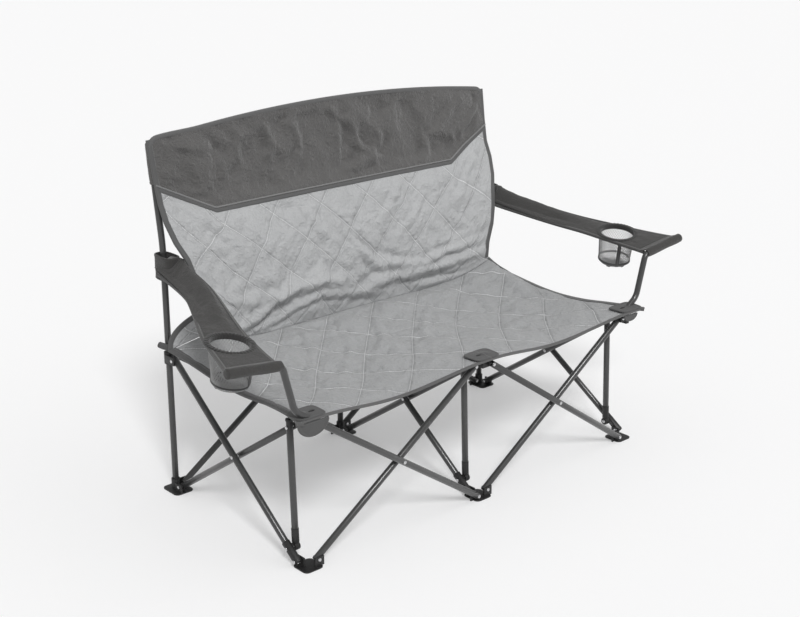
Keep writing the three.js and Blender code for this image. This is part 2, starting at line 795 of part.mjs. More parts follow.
function collar(x, out, lugs) {
  const inner = tubeRadius + collarClearance;
  const outer = inner + collarWall;
  const low = point(x, frameDepth, topHeight - collarHeight / 2);
  const high = point(x, frameDepth, topHeight + collarHeight / 2);
  const lugX = x + out * (tubeRadius + lugGap);
  const lugLow = Math.min(lugX, lugX + out * lugThickness);
  const sideLug = block(
    point(lugLow, rearPivotY - lugReach, topHeight - lugHeight / 2),
    point(lugLow + lugThickness, frameDepth, topHeight + lugHeight / 2),
  );
  const pieces = [pipe(low, high, outer, inner, tubeSides), sideLug];
  const holes = [rivetHole(point(x, rearPivotY, topHeight), axisX, -tubeDiameter, tubeDiameter)];
  lugs.forEach(([side, lowY]) => {
    const far = x + side * (endOffset + lugReach);
    const near = x + side * tubeRadius;
    pieces.push(
      block(
        point(Math.min(far, near), lowY, topHeight - lugHeight / 2),
        point(Math.max(far, near), lowY + lugThickness, topHeight + lugHeight / 2),
      ),
    );
    const pivot = point(x + side * endOffset, frameDepth, topHeight);
    holes.push(rivetHole(pivot, axisY, -tubeDiameter, tubeDiameter));
  });
  const bore = rod(
    point(x, frameDepth, topHeight - collarHeight),
    point(x, frameDepth, topHeight + collarHeight),
    inner,
  );
  return cut(joined(...pieces), bore, ...holes);
}

// Cross tubes of one bay of the rear row, mirrored for the other bay.
function rearBay(side, label) {
  const outerLow = point(side * (bayPitch - endOffset), rearFrontLayer, pivotHeight);
  const outerHigh = point(side * endOffset, rearFrontLayer, topHeight);
  const innerLow = point(side * endOffset, rearBackLayer, pivotHeight);
  const innerHigh = point(side * (bayPitch - endOffset), rearBackLayer, topHeight);
  const plate = tubeRadius + fitGap + lugThickness + fitGap;
  const outerMiddle = outerLow.clone().add(outerHigh).multiplyScalar(0.5);
  const outerTube = joined(
    strut(outerLow, outerHigh, hubOverrun),
    rivet(outerLow, axisY, -headSeat, plate),
    rivet(outerHigh, axisY, -headSeat, plate),
    rivet(outerMiddle, axisY, -headSeat, layer + tubeRadius + fitGap),
  );
  const innerTube = cut(
    joined(
      strut(innerLow, innerHigh),
      rivet(innerLow, axisY, -plate, headSeat),
      rivet(innerHigh, axisY, -plate, headSeat),
    ),
    rivetHole(
      innerLow.clone().add(innerHigh).multiplyScalar(0.5),
      axisY,
      -tubeRadius - cutOverrun,
      tubeRadius + cutOverrun,
    ),
  );
  place(`rear_outer_${label}`, outerLow, `rear_strut_outer_${label}`, outerTube, steel);
  place(`rear_inner_${label}`, innerLow, `rear_strut_inner_${label}`, innerTube, steel);
}

// Front row: the plain cross tube of a bay, and the one that goes on as the arm tube.
function frontBay(side, label) {
  const plainY = -layer - frontLayerOf(side);
  const armY = frontLayerOf(side);
  const plainLow = point(side * (bayPitch - endOffset), plainY, pivotHeight);
  const plainHigh = point(side * endOffset, plainY, topHeight);
  const armLow = point(side * endOffset, armY, pivotHeight);
  const corners = armCorners(side, armY);
  const backPlate = tubeRadius + fitGap + lugThickness + fitGap;
  const plainIsFront = plainY < armY;
  const plainMiddle = plainLow.clone().add(plainHigh).multiplyScalar(0.5);
  const armMiddle = armLow.clone().add(corners[0]).multiplyScalar(0.5);
  const flange = tubeRadius + fitGap + hubFlange + fitGap;
  const plainEnds = plainIsFront ? [-headSeat, backPlate] : [-backPlate, headSeat];
  const plainTube = joined(
    strut(plainLow, plainHigh),
    rivet(plainLow, axisY, ...plainEnds),
    rivet(plainHigh, axisY, -headSeat, flange),
    plainIsFront
      ? rivet(plainMiddle, axisY, -headSeat, layer + tubeRadius + fitGap)
      : rivet(plainMiddle, axisY, -layer - tubeRadius - fitGap, headSeat),
  );
  place(`front_plain_${label}`, plainLow, `front_strut_${label}`, plainTube, steel);
  const route = new BentRoute(
    [onward(corners[0], armLow, tubeOverrun), corners[1], corners[2], corners[3]],
    [armBendRadius, armTopRadius],
    4,
  );
  const armIsFront = armY < plainY;
  const armFootEnds = armIsFront ? [-headSeat, backPlate] : [-backPlate, headSeat];
  const armHubEnds = armIsFront ? [-headSeat, flange] : [-flange, headSeat];
  const armTube = cut(
    joined(
      bentPipe(route),
      rivet(armLow, axisY, ...armFootEnds),
      rivet(corners[0], axisY, ...armHubEnds),
    ),
    rivetHole(armMiddle, axisY, -tubeRadius - cutOverrun, tubeRadius + cutOverrun),
  );
  place(`arm_${label}`, armLow, `arm_tube_${label}`, armTube, steel);
}

// Front hubs.

function hubBoss(x) {
  const y = frontSetback + bossSetback;
  const reach = bossDiameter / 2;
  const corners = [-reach, 0, reach].flatMap((dx) => [-reach, 0, reach].map((dy) => [x + dx, y + dy]));
  const lowest = Math.min(...corners.map(([cx, cy]) => seatMiddleHeight(cx, cy)));
  const underside = lowest - (fabricThin + quiltRise) / 2 - fitGap;
  return rod(point(x, y, topHeight + headDiameter / 2 + fitGap), point(x, y, underside), reach);
}

function hubSolid(x, out, flanges) {
  const near = x - out * (sideLayer - tubeRadius - hubGap);
  const far = near + out * hubSideReach;
  const low = topHeight - hubHeight / 2;
  const high = topHeight + hubHeight / 2;
  const frontY = -tubeRadius - fitGap;
  const pieces = [
    block(
      point(Math.min(near, far), frontSetback - hubDepth / 3, low),
      point(Math.max(near, far), frontSetback + hubDepth, high),
    ),
    hubBoss(Math.abs(x) > 0 ? x + out * (tubeRadius - pinRadius) : x),
  ];
  const holes = [rivetHole(point(x, frontSetback, topHeight), axisX, -2 * tubeDiameter, 2 * tubeDiameter)];
  flanges.forEach(({ at, lowY, under }) => {
    const edge = at + Math.sign(at - x) * lugReach;
    const [lowX, highX] = [Math.min(edge, near, far), Math.max(edge, near, far)];
    pieces.push(block(point(lowX, lowY, low), point(highX, lowY + hubFlange, high)));
    if (under) {
      const bridgeHigh = topHeight - tubeRadius * under;
      pieces.push(
        block(
          point(Math.min(near, far), lowY, low - hubHeight / 2),
          point(Math.max(near, far), frontSetback, bridgeHigh),
        ),
      );
    } else {
      pieces.push(
        block(
          point(Math.min(near, far), Math.min(lowY, frontY), low),
          point(Math.max(near, far), frontSetback, high),
        ),
      );
    }
    holes.push(rivetHole(point(at, 0, topHeight), axisY, -2 * tubeDiameter, 2 * tubeDiameter));
  });
  return cut(joined(...pieces), ...holes);
}

// Soft pieces.
function strutClearance(side) {
  const corners = armCorners(side, frontLayerOf(side));
  const beyond = onward(corners[0], corners[1], 0);
  return rod(corners[0], beyond, tubeRadius + layerGap);
}

function seatPanel(lowShare, highShare, columns, rows, rowsBefore) {
  const middleAt = (u, v) => seatPoint(mix(-1, 1, u), mix(lowShare, highShare, v));
  return sheet(columns, rows, middleAt, (i, j) => {
    const rim = i === 0 || i === columns || j + rowsBefore === 0;
    return rim ? fabricThin : quilted(i, j + rowsBefore);
  });
}

// The highest point of the quilted seat under a patch that is centred at x.
function seatTopUnder(x) {
  const steps = Array.from({ length: 2 * patchSamples + 1 }, (_, i) => i / patchSamples - 1);
  const tops = steps.flatMap((across) =>
    steps.map((along) => {
      const at = [x + across * patchHalfLength, Math.max(along * patchHalfWidth, seatFrontY(x))];
      const share = seatShareAt(...at);
      const column = ((at[0] / seatSide(share) + 1) / 2) * quiltColumns;
      const inside = Math.min(Math.max(column, 0), quiltColumns);
      const row = (Math.max(share, 0) / creaseShare) * seatRows;
      const thickness = mix(fabricThin, quilted(inside, row), Math.min(row, 1));
      return seatMiddleHeight(...at) + thickness / 2;
    }),
  );
  return Math.max(...tops);
}

function patchSolid(x, side) {
  const shape = new THREE.Shape();
  const [a, b, c] = [patchHalfLength, patchHalfWidth, patchCorner];
  shape.moveTo(a, -b + c);
  shape.lineTo(a, b - c);
  shape.quadraticCurveTo(a, b, a - c, b);
  shape.lineTo(-a + c, b);
  shape.quadraticCurveTo(-a, b, -a, b - c);
  shape.lineTo(-a, -b + c);
  shape.quadraticCurveTo(-a, -b, -a + c, -b);
  shape.lineTo(a - c, -b);
  shape.quadraticCurveTo(a, -b, a, -b + c);
  const z = seatTopUnder(x) + fitGap;
  const settings = { depth: patchThickness, bevelEnabled: false, curveSegments: 3 };
  const flat = solidOf(new THREE.ExtrudeGeometry(shape, settings).translate(x, 0, z));
  return side ? cut(flat, strutClearance(side)) : flat;
}

// The flap under a front corner that hides the hub: a half round hung from the hem.
function pocketSolid(side) {
  const shape = new THREE.Shape();
  shape.moveTo(-pocketHalfWidth, 0);
  shape.quadraticCurveTo(-pocketHalfWidth, -pocketDrop, 0, -pocketDrop);
  shape.quadraticCurveTo(pocketHalfWidth, -pocketDrop, pocketHalfWidth, 0);
  shape.closePath();
  const settings = { depth: pocketThickness, bevelEnabled: false, curveSegments: 6 };
  const flat = new THREE.ExtrudeGeometry(shape, settings).rotateX(Math.PI / 2);
  const x = side * (bayPitch - endOffset / 2);
  const y = frontLayerOf(-1) - tubeRadius - headHeight - pocketThickness - fitGap;
  const top = seatPoint(side * x / seatSide(0) * side, 0).z - fabricThin / 2 - quiltRise / 2 - fitGap;
  return solidOf(flat.translate(x, y + pocketThickness, top));
}

function ringFrame(side) {
  const t = ringSetback / (armrestRearY - frontLayerOf(side));
  const centre = armrestPoint(side, t, 0.5);
  const ahead = armrestPoint(side, t + 0.05, 0.5);
  const across = armrestPoint(side, t, 1);
  const along = ahead.sub(centre).normalize();
  const normal = across.sub(centre).normalize().cross(along).normalize();
  if (normal.z < 0) normal.negate();
  return { centre, normal };
}

function turned(side, profile, sides) {
  const { centre, normal } = ringFrame(side);
  const lathe = new THREE.LatheGeometry(profile, sides);
  lathe.applyQuaternion(new THREE.Quaternion().setFromUnitVectors(axisY, normal));
  return solidOf(lathe.translate(centre.x, centre.y, centre.z));
}

function ringSolid(side) {
  const [outer, inner] = [ringDiameter / 2, ringOpening / 2];
  const top = armrestThickness / 2 + fitGap;
  const profile = [
    new THREE.Vector2(inner, top + ringPlate),
    new THREE.Vector2(inner, top - ringCollarDepth),
    new THREE.Vector2(inner + netWall, top - ringCollarDepth),
    new THREE.Vector2(inner + netWall, top),
    new THREE.Vector2(outer, top),
    new THREE.Vector2(outer, top + ringPlate / 2),
    new THREE.Vector2(outer - ringPlate, top + ringPlate),
    new THREE.Vector2(inner, top + ringPlate),
  ];
  return turned(side, profile, ringSides);
}

function netSolid(side) {
  const rim = ringOpening / 2 + netWall;
  const top = armrestThickness / 2 - ringCollarDepth;
  const floor = top - netDepth;
  const base = rim - netTaper;
  const profile = [
    new THREE.Vector2(0, floor + netWall),
    new THREE.Vector2(base - netRound, floor + netWall),
    new THREE.Vector2(base - netWall, floor + netRound),
    new THREE.Vector2(rim - netWall, top),
    new THREE.Vector2(rim, top),
    new THREE.Vector2(base, floor + netRound),
    new THREE.Vector2(base - netRound, floor),
    new THREE.Vector2(0, floor),
  ];
  return turned(side, profile.reverse(), 20);
}

function armrestSolid(side) {
  const columns = 6;
  const rows = 14;
  const middleAt = (u, v) => armrestPoint(side, v, side > 0 ? u : 1 - u);
  const ribbon = sheet(columns, rows, middleAt, () => armrestThickness);
  const { centre, normal } = ringFrame(side);
  const a = centre.clone().addScaledVector(normal, -ringDiameter);
  const b = centre.clone().addScaledVector(normal, ringDiameter);
  const opening = rod(a, b, ringOpening / 2 + netWall + fitGap, ringSides);
  const underPlate = centre.clone().addScaledVector(normal, armrestThickness / 2);
  const recess = rod(underPlate, b, ringDiameter / 2 + fitGap, ringSides);
  const outline = (half, length) => {
    const shape = new THREE.Shape();
    shape.absarc(0, length - half, half, 0, Math.PI);
    shape.absarc(0, half, half, Math.PI, 2 * Math.PI);
    return shape;
  };
  const shape = outline(loopHalfWidth, loopLength);
  const hole = outline(loopHalfWidth - loopWall, loopLength - 2 * loopWall);
  const inner = hole.getPoints(5).map((place) => place.add(new THREE.Vector2(0, loopWall)));
  shape.holes.push(new THREE.Path(inner.reverse()));
  const settings = { depth: loopHeight, bevelEnabled: false, curveSegments: 5 };
  const loop = new THREE.ExtrudeGeometry(shape, settings);
  loop.translate(side * bayPitch, armrestRearY, armrestRearHeight - loopHeight / 2);
  const [hemA, hemB] = armCorners(side, frontLayerOf(side)).slice(2);
  const sleeveA = between(hemA, hemB, hemSleeveStart);
  const sleeveB = onward(hemA, hemB, -hemSleeveEnd);
  const bore = tubeRadius + fitGap;
  const hem = pipe(sleeveA, sleeveB, bore + hemSleeveWall, bore, tubeSides);
  const past = rod(onward(hemB, hemA, hemSleeveStart), onward(hemA, hemB, hemSleeveStart), bore);
  return joined(cut(joined(cut(ribbon, opening, recess), hem), past), solidOf(loop));
}

// Assembly.
const rootPivot = point(0, frameDepth, 0);
const betweenLayers = rearFrontLayer + tubeRadius + fitGap;
const beforeBackLayer = rearBackLayer - tubeRadius - fitGap - lugThickness;
const beforePlainRow = -tubeRadius - fitGap - lugThickness;
const behindFrontLayer = -layer + tubeRadius + fitGap;

place("rear_center_leg", rootPivot, "rear_foot_center",
  rearFoot(0, -1, [[-endOffset, beforeBackLayer], [endOffset, beforeBackLayer]]), plastic);
place("rear_center_leg", rootPivot, "upright_center", bentPipe(upright(0)), steel);
[[-1, "left"], [1, "right"]].forEach(([side, label]) => {
  const x = side * bayPitch;
  const pivot = point(x, frameDepth, 0);
  place(`rear_leg_${label}`, pivot, `rear_foot_${label}`,
    rearFoot(x, side, [[-side * endOffset, betweenLayers]]), plastic);
  place(`rear_leg_${label}`, pivot, `upright_${label}`, bentPipe(upright(x)), steel);
  rearBay(side, label);
  frontBay(side, label);
});
place("collar_center", point(0, rearPivotY, topHeight), "collar_center",
  collar(0, -1, [[-1, betweenLayers], [1, betweenLayers]]), plastic);
place("collar_left", point(-bayPitch, rearPivotY, topHeight), "collar_left",
  collar(-bayPitch, -1, [[1, beforeBackLayer]]), plastic);
place("collar_right", point(bayPitch, rearPivotY, topHeight), "collar_right",
  collar(bayPitch, 1, [[-1, beforeBackLayer]]), plastic);
sideFrames.forEach(sideFrame);
place("front_foot_left", point(-bayPitch, 0, 0), "front_foot_left",
  frontFoot("left", -bayPitch, -1, [[endOffset, beforePlainRow]]), plastic);
place("front_foot_center", point(0, 0, 0), "front_foot_center",
  frontFoot("center", 0, -1, [[-endOffset, behindFrontLayer], [endOffset, beforePlainRow]]), plastic);
place("front_foot_right", point(bayPitch, 0, 0), "front_foot_right",
  frontFoot("right", bayPitch, 1, [[-endOffset, behindFrontLayer]]), plastic);
place("hub_left", point(-bayPitch, frontSetback, topHeight), "front_hub_left",
  hubSolid(-bayPitch, -1, [{ at: -bayPitch + endOffset, lowY: behindFrontLayer }]), plastic);
place("hub_center", point(0, frontSetback, topHeight), "front_hub_center",
  hubSolid(0, -1, [
    { at: -endOffset, lowY: tubeRadius + fitGap },
    { at: endOffset, lowY: behindFrontLayer },
  ]), plastic);
place("hub_right", point(bayPitch, frontSetback, topHeight), "front_hub_right",
  hubSolid(bayPitch, 1, [
    { at: bayPitch - endOffset, lowY: -tubeRadius - fitGap - hubFlange, under: 0.5 },
  ]), plastic);

const seatPivot = point(0, 0, seatHeight);
const creaseGap = fitGap / seatRearY;
const frontPanel = cut(
  seatPanel(0, creaseShare - creaseGap, quiltColumns, seatRows, 0),
  strutClearance(-1),
  strutClearance(1),
);
place("seat_front", seatPivot, "seat_front", frontPanel, seatCloth);
place("seat_rear", point(0, seatRearY, seatHeight), "seat_rear",
  seatPanel(creaseShare + creaseGap, 1, quiltColumns, seatRows, seatRows), seatCloth);
const backRows = Math.round((bandHeight - seatHeight) / quiltStep);
const backLower = backSheet(quiltColumns, backRows, backBottom, (x) => bandEdge(x) - seamGap);
place("rear_center_leg", rootPivot, "back_panel", quiltSheet(backLower, true), backCloth);
const backUpper = backSheet(quiltColumns / 2, bandRows, (x) => bandEdge(x) + seamGap, backTop);
const bandPockets = [
  bandPocket(-bayPitch, pocketLength),
  bandPocket(0, middlePocketLength),
  bandPocket(bayPitch, pocketLength),
];
const band = joined(quiltSheet(backUpper, false), ...bandPockets.map(({ wall }) => wall));
const openBand = cut(band, ...bandPockets.map(({ hollow }) => hollow));
place("rear_center_leg", rootPivot, "back_band", openBand, darkCloth);
place("hub_left", point(0, 0, 0), "corner_patch_left", patchSolid(-bayPitch, -1), darkCloth);
place("hub_center", point(0, 0, 0), "center_patch", patchSolid(0, 0), darkCloth);
place("hub_right", point(0, 0, 0), "corner_patch_right", patchSolid(bayPitch, 1), darkCloth);
place("hub_left", point(0, 0, 0), "corner_pocket_left", pocketSolid(-1), darkCloth);
place("hub_right", point(0, 0, 0), "corner_pocket_right", pocketSolid(1), darkCloth);
[[-1, "left"], [1, "right"]].forEach(([side, label]) => {
  const pivot = point(0, 0, 0);
  place(`arm_${label}`, pivot, `armrest_${label}`, armrestSolid(side), darkCloth);
  place(`arm_${label}`, pivot, `cup_ring_${label}`, ringSolid(side), plastic);
  place(`arm_${label}`, pivot, `cup_net_${label}`, netSolid(side), netCloth);
});

// The origin is under the middle of the object.
const box = new THREE.Box3().setFromObject(object);
object.position.y = -(box.min.y + box.max.y) / 2;

export default object;
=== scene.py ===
# %% [markdown]
# # A two-seat folding camp chair
# The chair is a lattice of crossed steel tubes that opens like a concertina, with a quilted cloth
# seat and back hung in it. The CAD model holds every tube, hinge and foot at its true size.
# This script loads that model as a fixed frame and makes the looks around it: smooth round tubes,
# riveted joints, moulded feet, sewn and quilted cloth, mesh cup holders, light and camera.

import json
import math

import bmesh
import bpy
import numpy as np
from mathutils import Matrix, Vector, noise


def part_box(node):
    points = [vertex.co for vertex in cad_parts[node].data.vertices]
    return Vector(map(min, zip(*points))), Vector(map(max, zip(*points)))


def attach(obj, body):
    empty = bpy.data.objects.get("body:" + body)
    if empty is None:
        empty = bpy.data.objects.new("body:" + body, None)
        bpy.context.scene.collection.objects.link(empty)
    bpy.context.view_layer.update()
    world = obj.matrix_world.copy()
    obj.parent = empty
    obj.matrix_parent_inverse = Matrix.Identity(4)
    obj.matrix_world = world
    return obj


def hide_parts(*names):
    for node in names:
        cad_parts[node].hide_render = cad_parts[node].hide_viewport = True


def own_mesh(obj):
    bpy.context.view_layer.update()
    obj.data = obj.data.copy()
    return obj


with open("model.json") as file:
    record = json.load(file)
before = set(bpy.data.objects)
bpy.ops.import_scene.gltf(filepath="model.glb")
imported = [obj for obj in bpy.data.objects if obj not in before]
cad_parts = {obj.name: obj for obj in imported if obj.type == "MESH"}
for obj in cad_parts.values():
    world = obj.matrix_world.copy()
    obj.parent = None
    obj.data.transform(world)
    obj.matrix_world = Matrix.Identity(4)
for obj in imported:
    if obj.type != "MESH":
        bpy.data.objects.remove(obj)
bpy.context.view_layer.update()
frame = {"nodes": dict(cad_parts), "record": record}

# %% [markdown]
# The CAD model is written in millimetres from the row of front feet, and its origin was then moved
# under the middle of the chair. The sizes that the looks need are repeated here by the same names,
# and one helper turns a point in those millimetres into a point of the scene.

# %% Sizes of the frame
bay = 539.92
end_offset = 21.6
front_setback = 18
rear_line = 544.72
rear_pivot = 514.72
low = 15
high = 355.11
tilt = math.radians(34.4)
layer = 17
side_layer = 19.5
tube_radius = 8
bore_radius = 7
ear = 4
fit = 0.3
middle_shift = -280.4127


def at(x, y, z):
    return Vector((x, y + middle_shift, z)) / 1000


def mix(a, b, share):
    return a + (b - a) * share


def clamp(value, low_end=0.0, high_end=1.0):
    return min(max(value, low_end), high_end)


def smooth(value):
    value = clamp(value)
    return value * value * (3 - 2 * value)


print("bay pitch", bay, "mm, front hub height", high, "mm")

# %% [markdown]
# ## Camera
# The photograph looks down at the chair from its front left. Where the rivets, feet and corners of
# the cloth fall in the picture gives the camera's place, its direction and its focal length.

# %% Camera
view_angle = (18.81, 41.70)
lens = bpy.data.cameras.new("camera")
lens.lens = 63.72
lens.sensor_width = 36
camera = bpy.data.objects.new("camera", lens)
camera.location = at(-2284.2, -2267.8, 1591.9)
camera.rotation_euler = (math.radians(90 - view_angle[0]), 0, math.radians(-view_angle[1]))
bpy.context.scene.collection.objects.link(camera)
bpy.context.scene.camera = camera
print("camera", [round(c, 3) for c in camera.location], "lens", lens.lens, "mm")

# %% [markdown]
# ## Light
# A studio cyclorama gives a broad even light. An even world does most of it, one large soft sun
# from the front left makes the back brighter than the seat, and a weak one fills the far side.

# %% Light
scene = bpy.context.scene
scene.view_settings.view_transform = "Standard"
world = bpy.data.worlds.new("studio")
scene.world = world
world.use_nodes = True
world.node_tree.nodes["Background"].inputs["Color"].default_value = (1, 1, 1, 1)
world.node_tree.nodes["Background"].inputs["Strength"].default_value = 0.47


def sun(name, azimuth, elevation, strength, softness):
    lamp = bpy.data.lights.new(name, "SUN")
    lamp.energy = strength
    lamp.angle = math.radians(softness)
    obj = bpy.data.objects.new(name, lamp)
    obj.rotation_euler = (math.radians(90 - elevation), 0, math.radians(azimuth))
    scene.collection.objects.link(obj)
    return lamp.energy


print("key", sun("key", -28, 44, 1.98, 15), "fill", sun("fill", 60, 35, 0.35, 60))

# %% [markdown]
# ## Shader graphs as sums
# A finish is a small graph of nodes. Written with Python's own operators it reads like the formula
# that it is, so one class wraps a socket and makes the Math nodes, and one method adds any other.


# %% Shader graph helpers
class Wire:
    def __init__(self, finish, socket):
        self.finish, self.socket = finish, socket

    def maths(self, operation, *terms):
        return self.finish.node("ShaderNodeMath", {"operation": operation}, *terms)

    def __add__(self, other):
        return self.maths("ADD", self, other)

    def __sub__(self, other):
        return self.maths("SUBTRACT", self, other)

    def __mul__(self, other):
        return self.maths("MULTIPLY", self, other)

    def __truediv__(self, other):
        return self.maths("DIVIDE", self, other)

    def wave(self):
        return self.maths("SINE", self)

    def size(self):
        return self.maths("ABSOLUTE", self)

    def from_line(self):
        """How far the value is from the nearest whole number, from 0 to a half."""
        return (self - self.maths("ROUND", self)).size()

    def below(self, limit, soft):
        """1 under the limit and 0 over it, with a soft edge."""
        return self.finish.node("ShaderNodeMapRange", {"clamp": True}, self, limit - soft, limit + soft, 1.0, 0.0)


class Finish:
    def __init__(self, name, colour, roughness, metallic=0.0):
        self.material = bpy.data.materials.new(name)
        self.material.use_nodes = True
        self.tree = self.material.node_tree
        self.shader = self.tree.nodes["Principled BSDF"]
        self.shader.inputs["Base Color"].default_value = (*colour, 1)
        self.shader.inputs["Roughness"].default_value = roughness
        self.shader.inputs["Metallic"].default_value = metallic

    def node(self, kind, settings, *values, out=0, **named):
        node = self.tree.nodes.new(kind)
        for key, value in settings.items():
            if key == "stops":
                for stop, (place, shade) in zip(node.color_ramp.elements, value):
                    stop.position, stop.color = place, (shade, shade, shade, 1)
            else:
                setattr(node, key, value)
        for key, value in [*enumerate(values), *named.items()]:
            socket = node.inputs[key if isinstance(key, int) else key.replace("_", " ")]
            if isinstance(value, Wire):
                self.tree.links.new(value.socket, socket)
            else:
                socket.default_value = value
        return Wire(self, node.outputs[out])

    def blend(self, factor, a, b):
        node = self.tree.nodes.new("ShaderNodeMix")
        node.data_type = "RGBA"
        for index, value in ((0, factor), (6, a), (7, b)):
            if isinstance(value, Wire):
                self.tree.links.new(value.socket, node.inputs[index])
            else:
                node.inputs[index].default_value = value if index == 0 else (*value, 1)
        return Wire(self, node.outputs[2])

    def feed(self, name, wire):
        self.tree.links.new(wire.socket, self.shader.inputs[name])

    def bump(self, height, distance, strength=1.0, under=None):
        values = {"Height": height, "Distance": distance, "Strength": strength}
        if under:
            values["Normal"] = under
        return self.node("ShaderNodeBump", {}, **values)

    def place(self):
        return self.node("ShaderNodeTexCoord", {}, out=3)

    def cloth_place(self):
        flat = self.node("ShaderNodeUVMap", {"uv_map": "cloth"})
        split = self.tree.nodes.new("ShaderNodeSeparateXYZ")
        self.tree.links.new(flat.socket, split.inputs[0])
        return Wire(self, split.outputs[0]), Wire(self, split.outputs[1]), flat

    def mottle(self, where, scale, detail=3.0, rough=0.55):
        return self.node("ShaderNodeTexNoise", {}, Vector=where, Scale=scale, Detail=detail, Roughness=rough)

    def stretched(self, where, stretch):
        return self.node("ShaderNodeVectorMath", {"operation": "MULTIPLY"}, where, stretch)


def grey(level, warm=0.0):
    """A grey as the picture shows it, from 0 to 255, as a linear colour."""
    return tuple((clamp(level + shift, 0, 255) / 255) ** 2.2 for shift in (warm, 0.0, -warm))


print("shader helpers ready; middle grey is", [round(c, 3) for c in grey(128)])

# %% [markdown]
# ## Floor
# The floor is a plain pale sheet. A camera or mirror ray also sees a little glow on it, which takes
# it to the white of the studio without more light on the chair, and the chair's shadow stays.

# %% Floor
floor_mesh = bpy.data.meshes.new("floor")
reach = 40
corners = [(-reach, -reach, 0), (reach, -reach, 0), (reach, reach, 0), (-reach, reach, 0)]
floor_mesh.from_pydata(corners, [], [(0, 1, 2, 3)])
floor = bpy.data.objects.new("floor", floor_mesh)
scene.collection.objects.link(floor)
paper = Finish("floor_paper", (0.72, 0.72, 0.723), 0.9)
path = paper.tree.nodes.new("ShaderNodeLightPath")
camera_ray, glossy_ray, through_ray = (
    Wire(paper, path.outputs[f"Is {kind} Ray"]) for kind in ("Camera", "Glossy", "Transmission"))
rays = camera_ray + glossy_ray + through_ray
seen = rays.maths("MINIMUM", rays, 1.0)
paper.shader.inputs["Emission Strength"].default_value = 1.0
paper.feed("Emission Color", paper.blend(seen, (0, 0, 0), (0.252, 0.252, 0.252)))
floor_mesh.materials.append(paper.material)
print("floor", 2 * reach, "m wide")

# %% [markdown]
# ## Powder-coated steel
# The tubes are sprayed with a dark grey powder that is baked on. It melts to a glossy skin with a
# faint orange peel, so it needs a fine bump, a slightly uneven gloss and a few dull rub marks.

# %% Powder coat
coat = Finish("powder_coat", grey(66), 0.33)
coat.shader.inputs["Coat Weight"].default_value = 0.25
coat.shader.inputs["Coat Roughness"].default_value = 0.18
peel = coat.mottle(coat.place(), 900.0, 2.0)
rubs = coat.mottle(coat.place(), 46.0, 6.0, 0.7)
rubbed = rubs.below(0.36, 0.05)
coat.feed("Base Color", coat.blend(rubbed * 0.5, grey(62), grey(92)))
coat.feed("Roughness", rubs * 0.16 + rubbed * 0.12 + 0.22)
coat.feed("Normal", coat.bump(peel, 0.0002, 0.35))
print(coat.material.name, "ready")

# %% [markdown]
# ## Moulded plastic
# Feet, hubs and collars are glass-filled nylon from a spark-eroded mould: near black, half matt,
# with a fine even grain and paler scuffs, which here are scattered by noise, not kept to where they meet the ground.

# %% Moulded plastic
nylon = Finish("moulded_nylon", grey(40), 0.5)
grain = nylon.mottle(nylon.place(), 1500.0, 2.0)
scuffs = nylon.mottle(nylon.place(), 120.0, 5.0, 0.7)
scuffed = scuffs.below(0.37, 0.05)
nylon.feed("Base Color", nylon.blend(scuffed * 0.6, grey(37), grey(74)))
nylon.feed("Roughness", grain * 0.16 + scuffed * 0.15 + 0.38)
nylon.feed("Normal", nylon.bump(grain, 0.00025, 0.4))
print(nylon.material.name, "ready")

# %% [markdown]
# ## Bright steel
# Rivets and the sliding rods are plated steel. Fine lines from drawing and turning run through the
# plating, which stretched noise gives.

# %% Bright steel
plated = Finish("plated_steel", (0.62, 0.62, 0.63), 0.28, 1.0)
lines = plated.mottle(plated.stretched(plated.place(), (2600.0, 2600.0, 240.0)), 1.0, 3.0)
plated.feed("Roughness", lines * 0.22 + 0.18)
plated.feed("Base Color", plated.blend(lines, (0.5, 0.5, 0.51), (0.7, 0.7, 0.71)))
plated.feed("Normal", plated.bump(lines, 0.00008, 0.3))
print(plated.material.name, "ready")


# %% [markdown]
# ## Woven cloth
# All the cloth is woven polyester, so one recipe serves: a plain weave of fine threads that goes
# up and down with two crossed waves, slubs that run along warp and weft, and a soft sheen. The
# flat pattern is measured in metres in the "cloth" map, so a thread has its real width anywhere.
# Quilting is drawn there too: lines of thread at 45 degrees, in stitches, lying in a pucker with painted shade.

# %% Woven cloth
weave_pitch = 0.0011
quilt_pitch = 0.156
stitches_per_diamond = 24.0


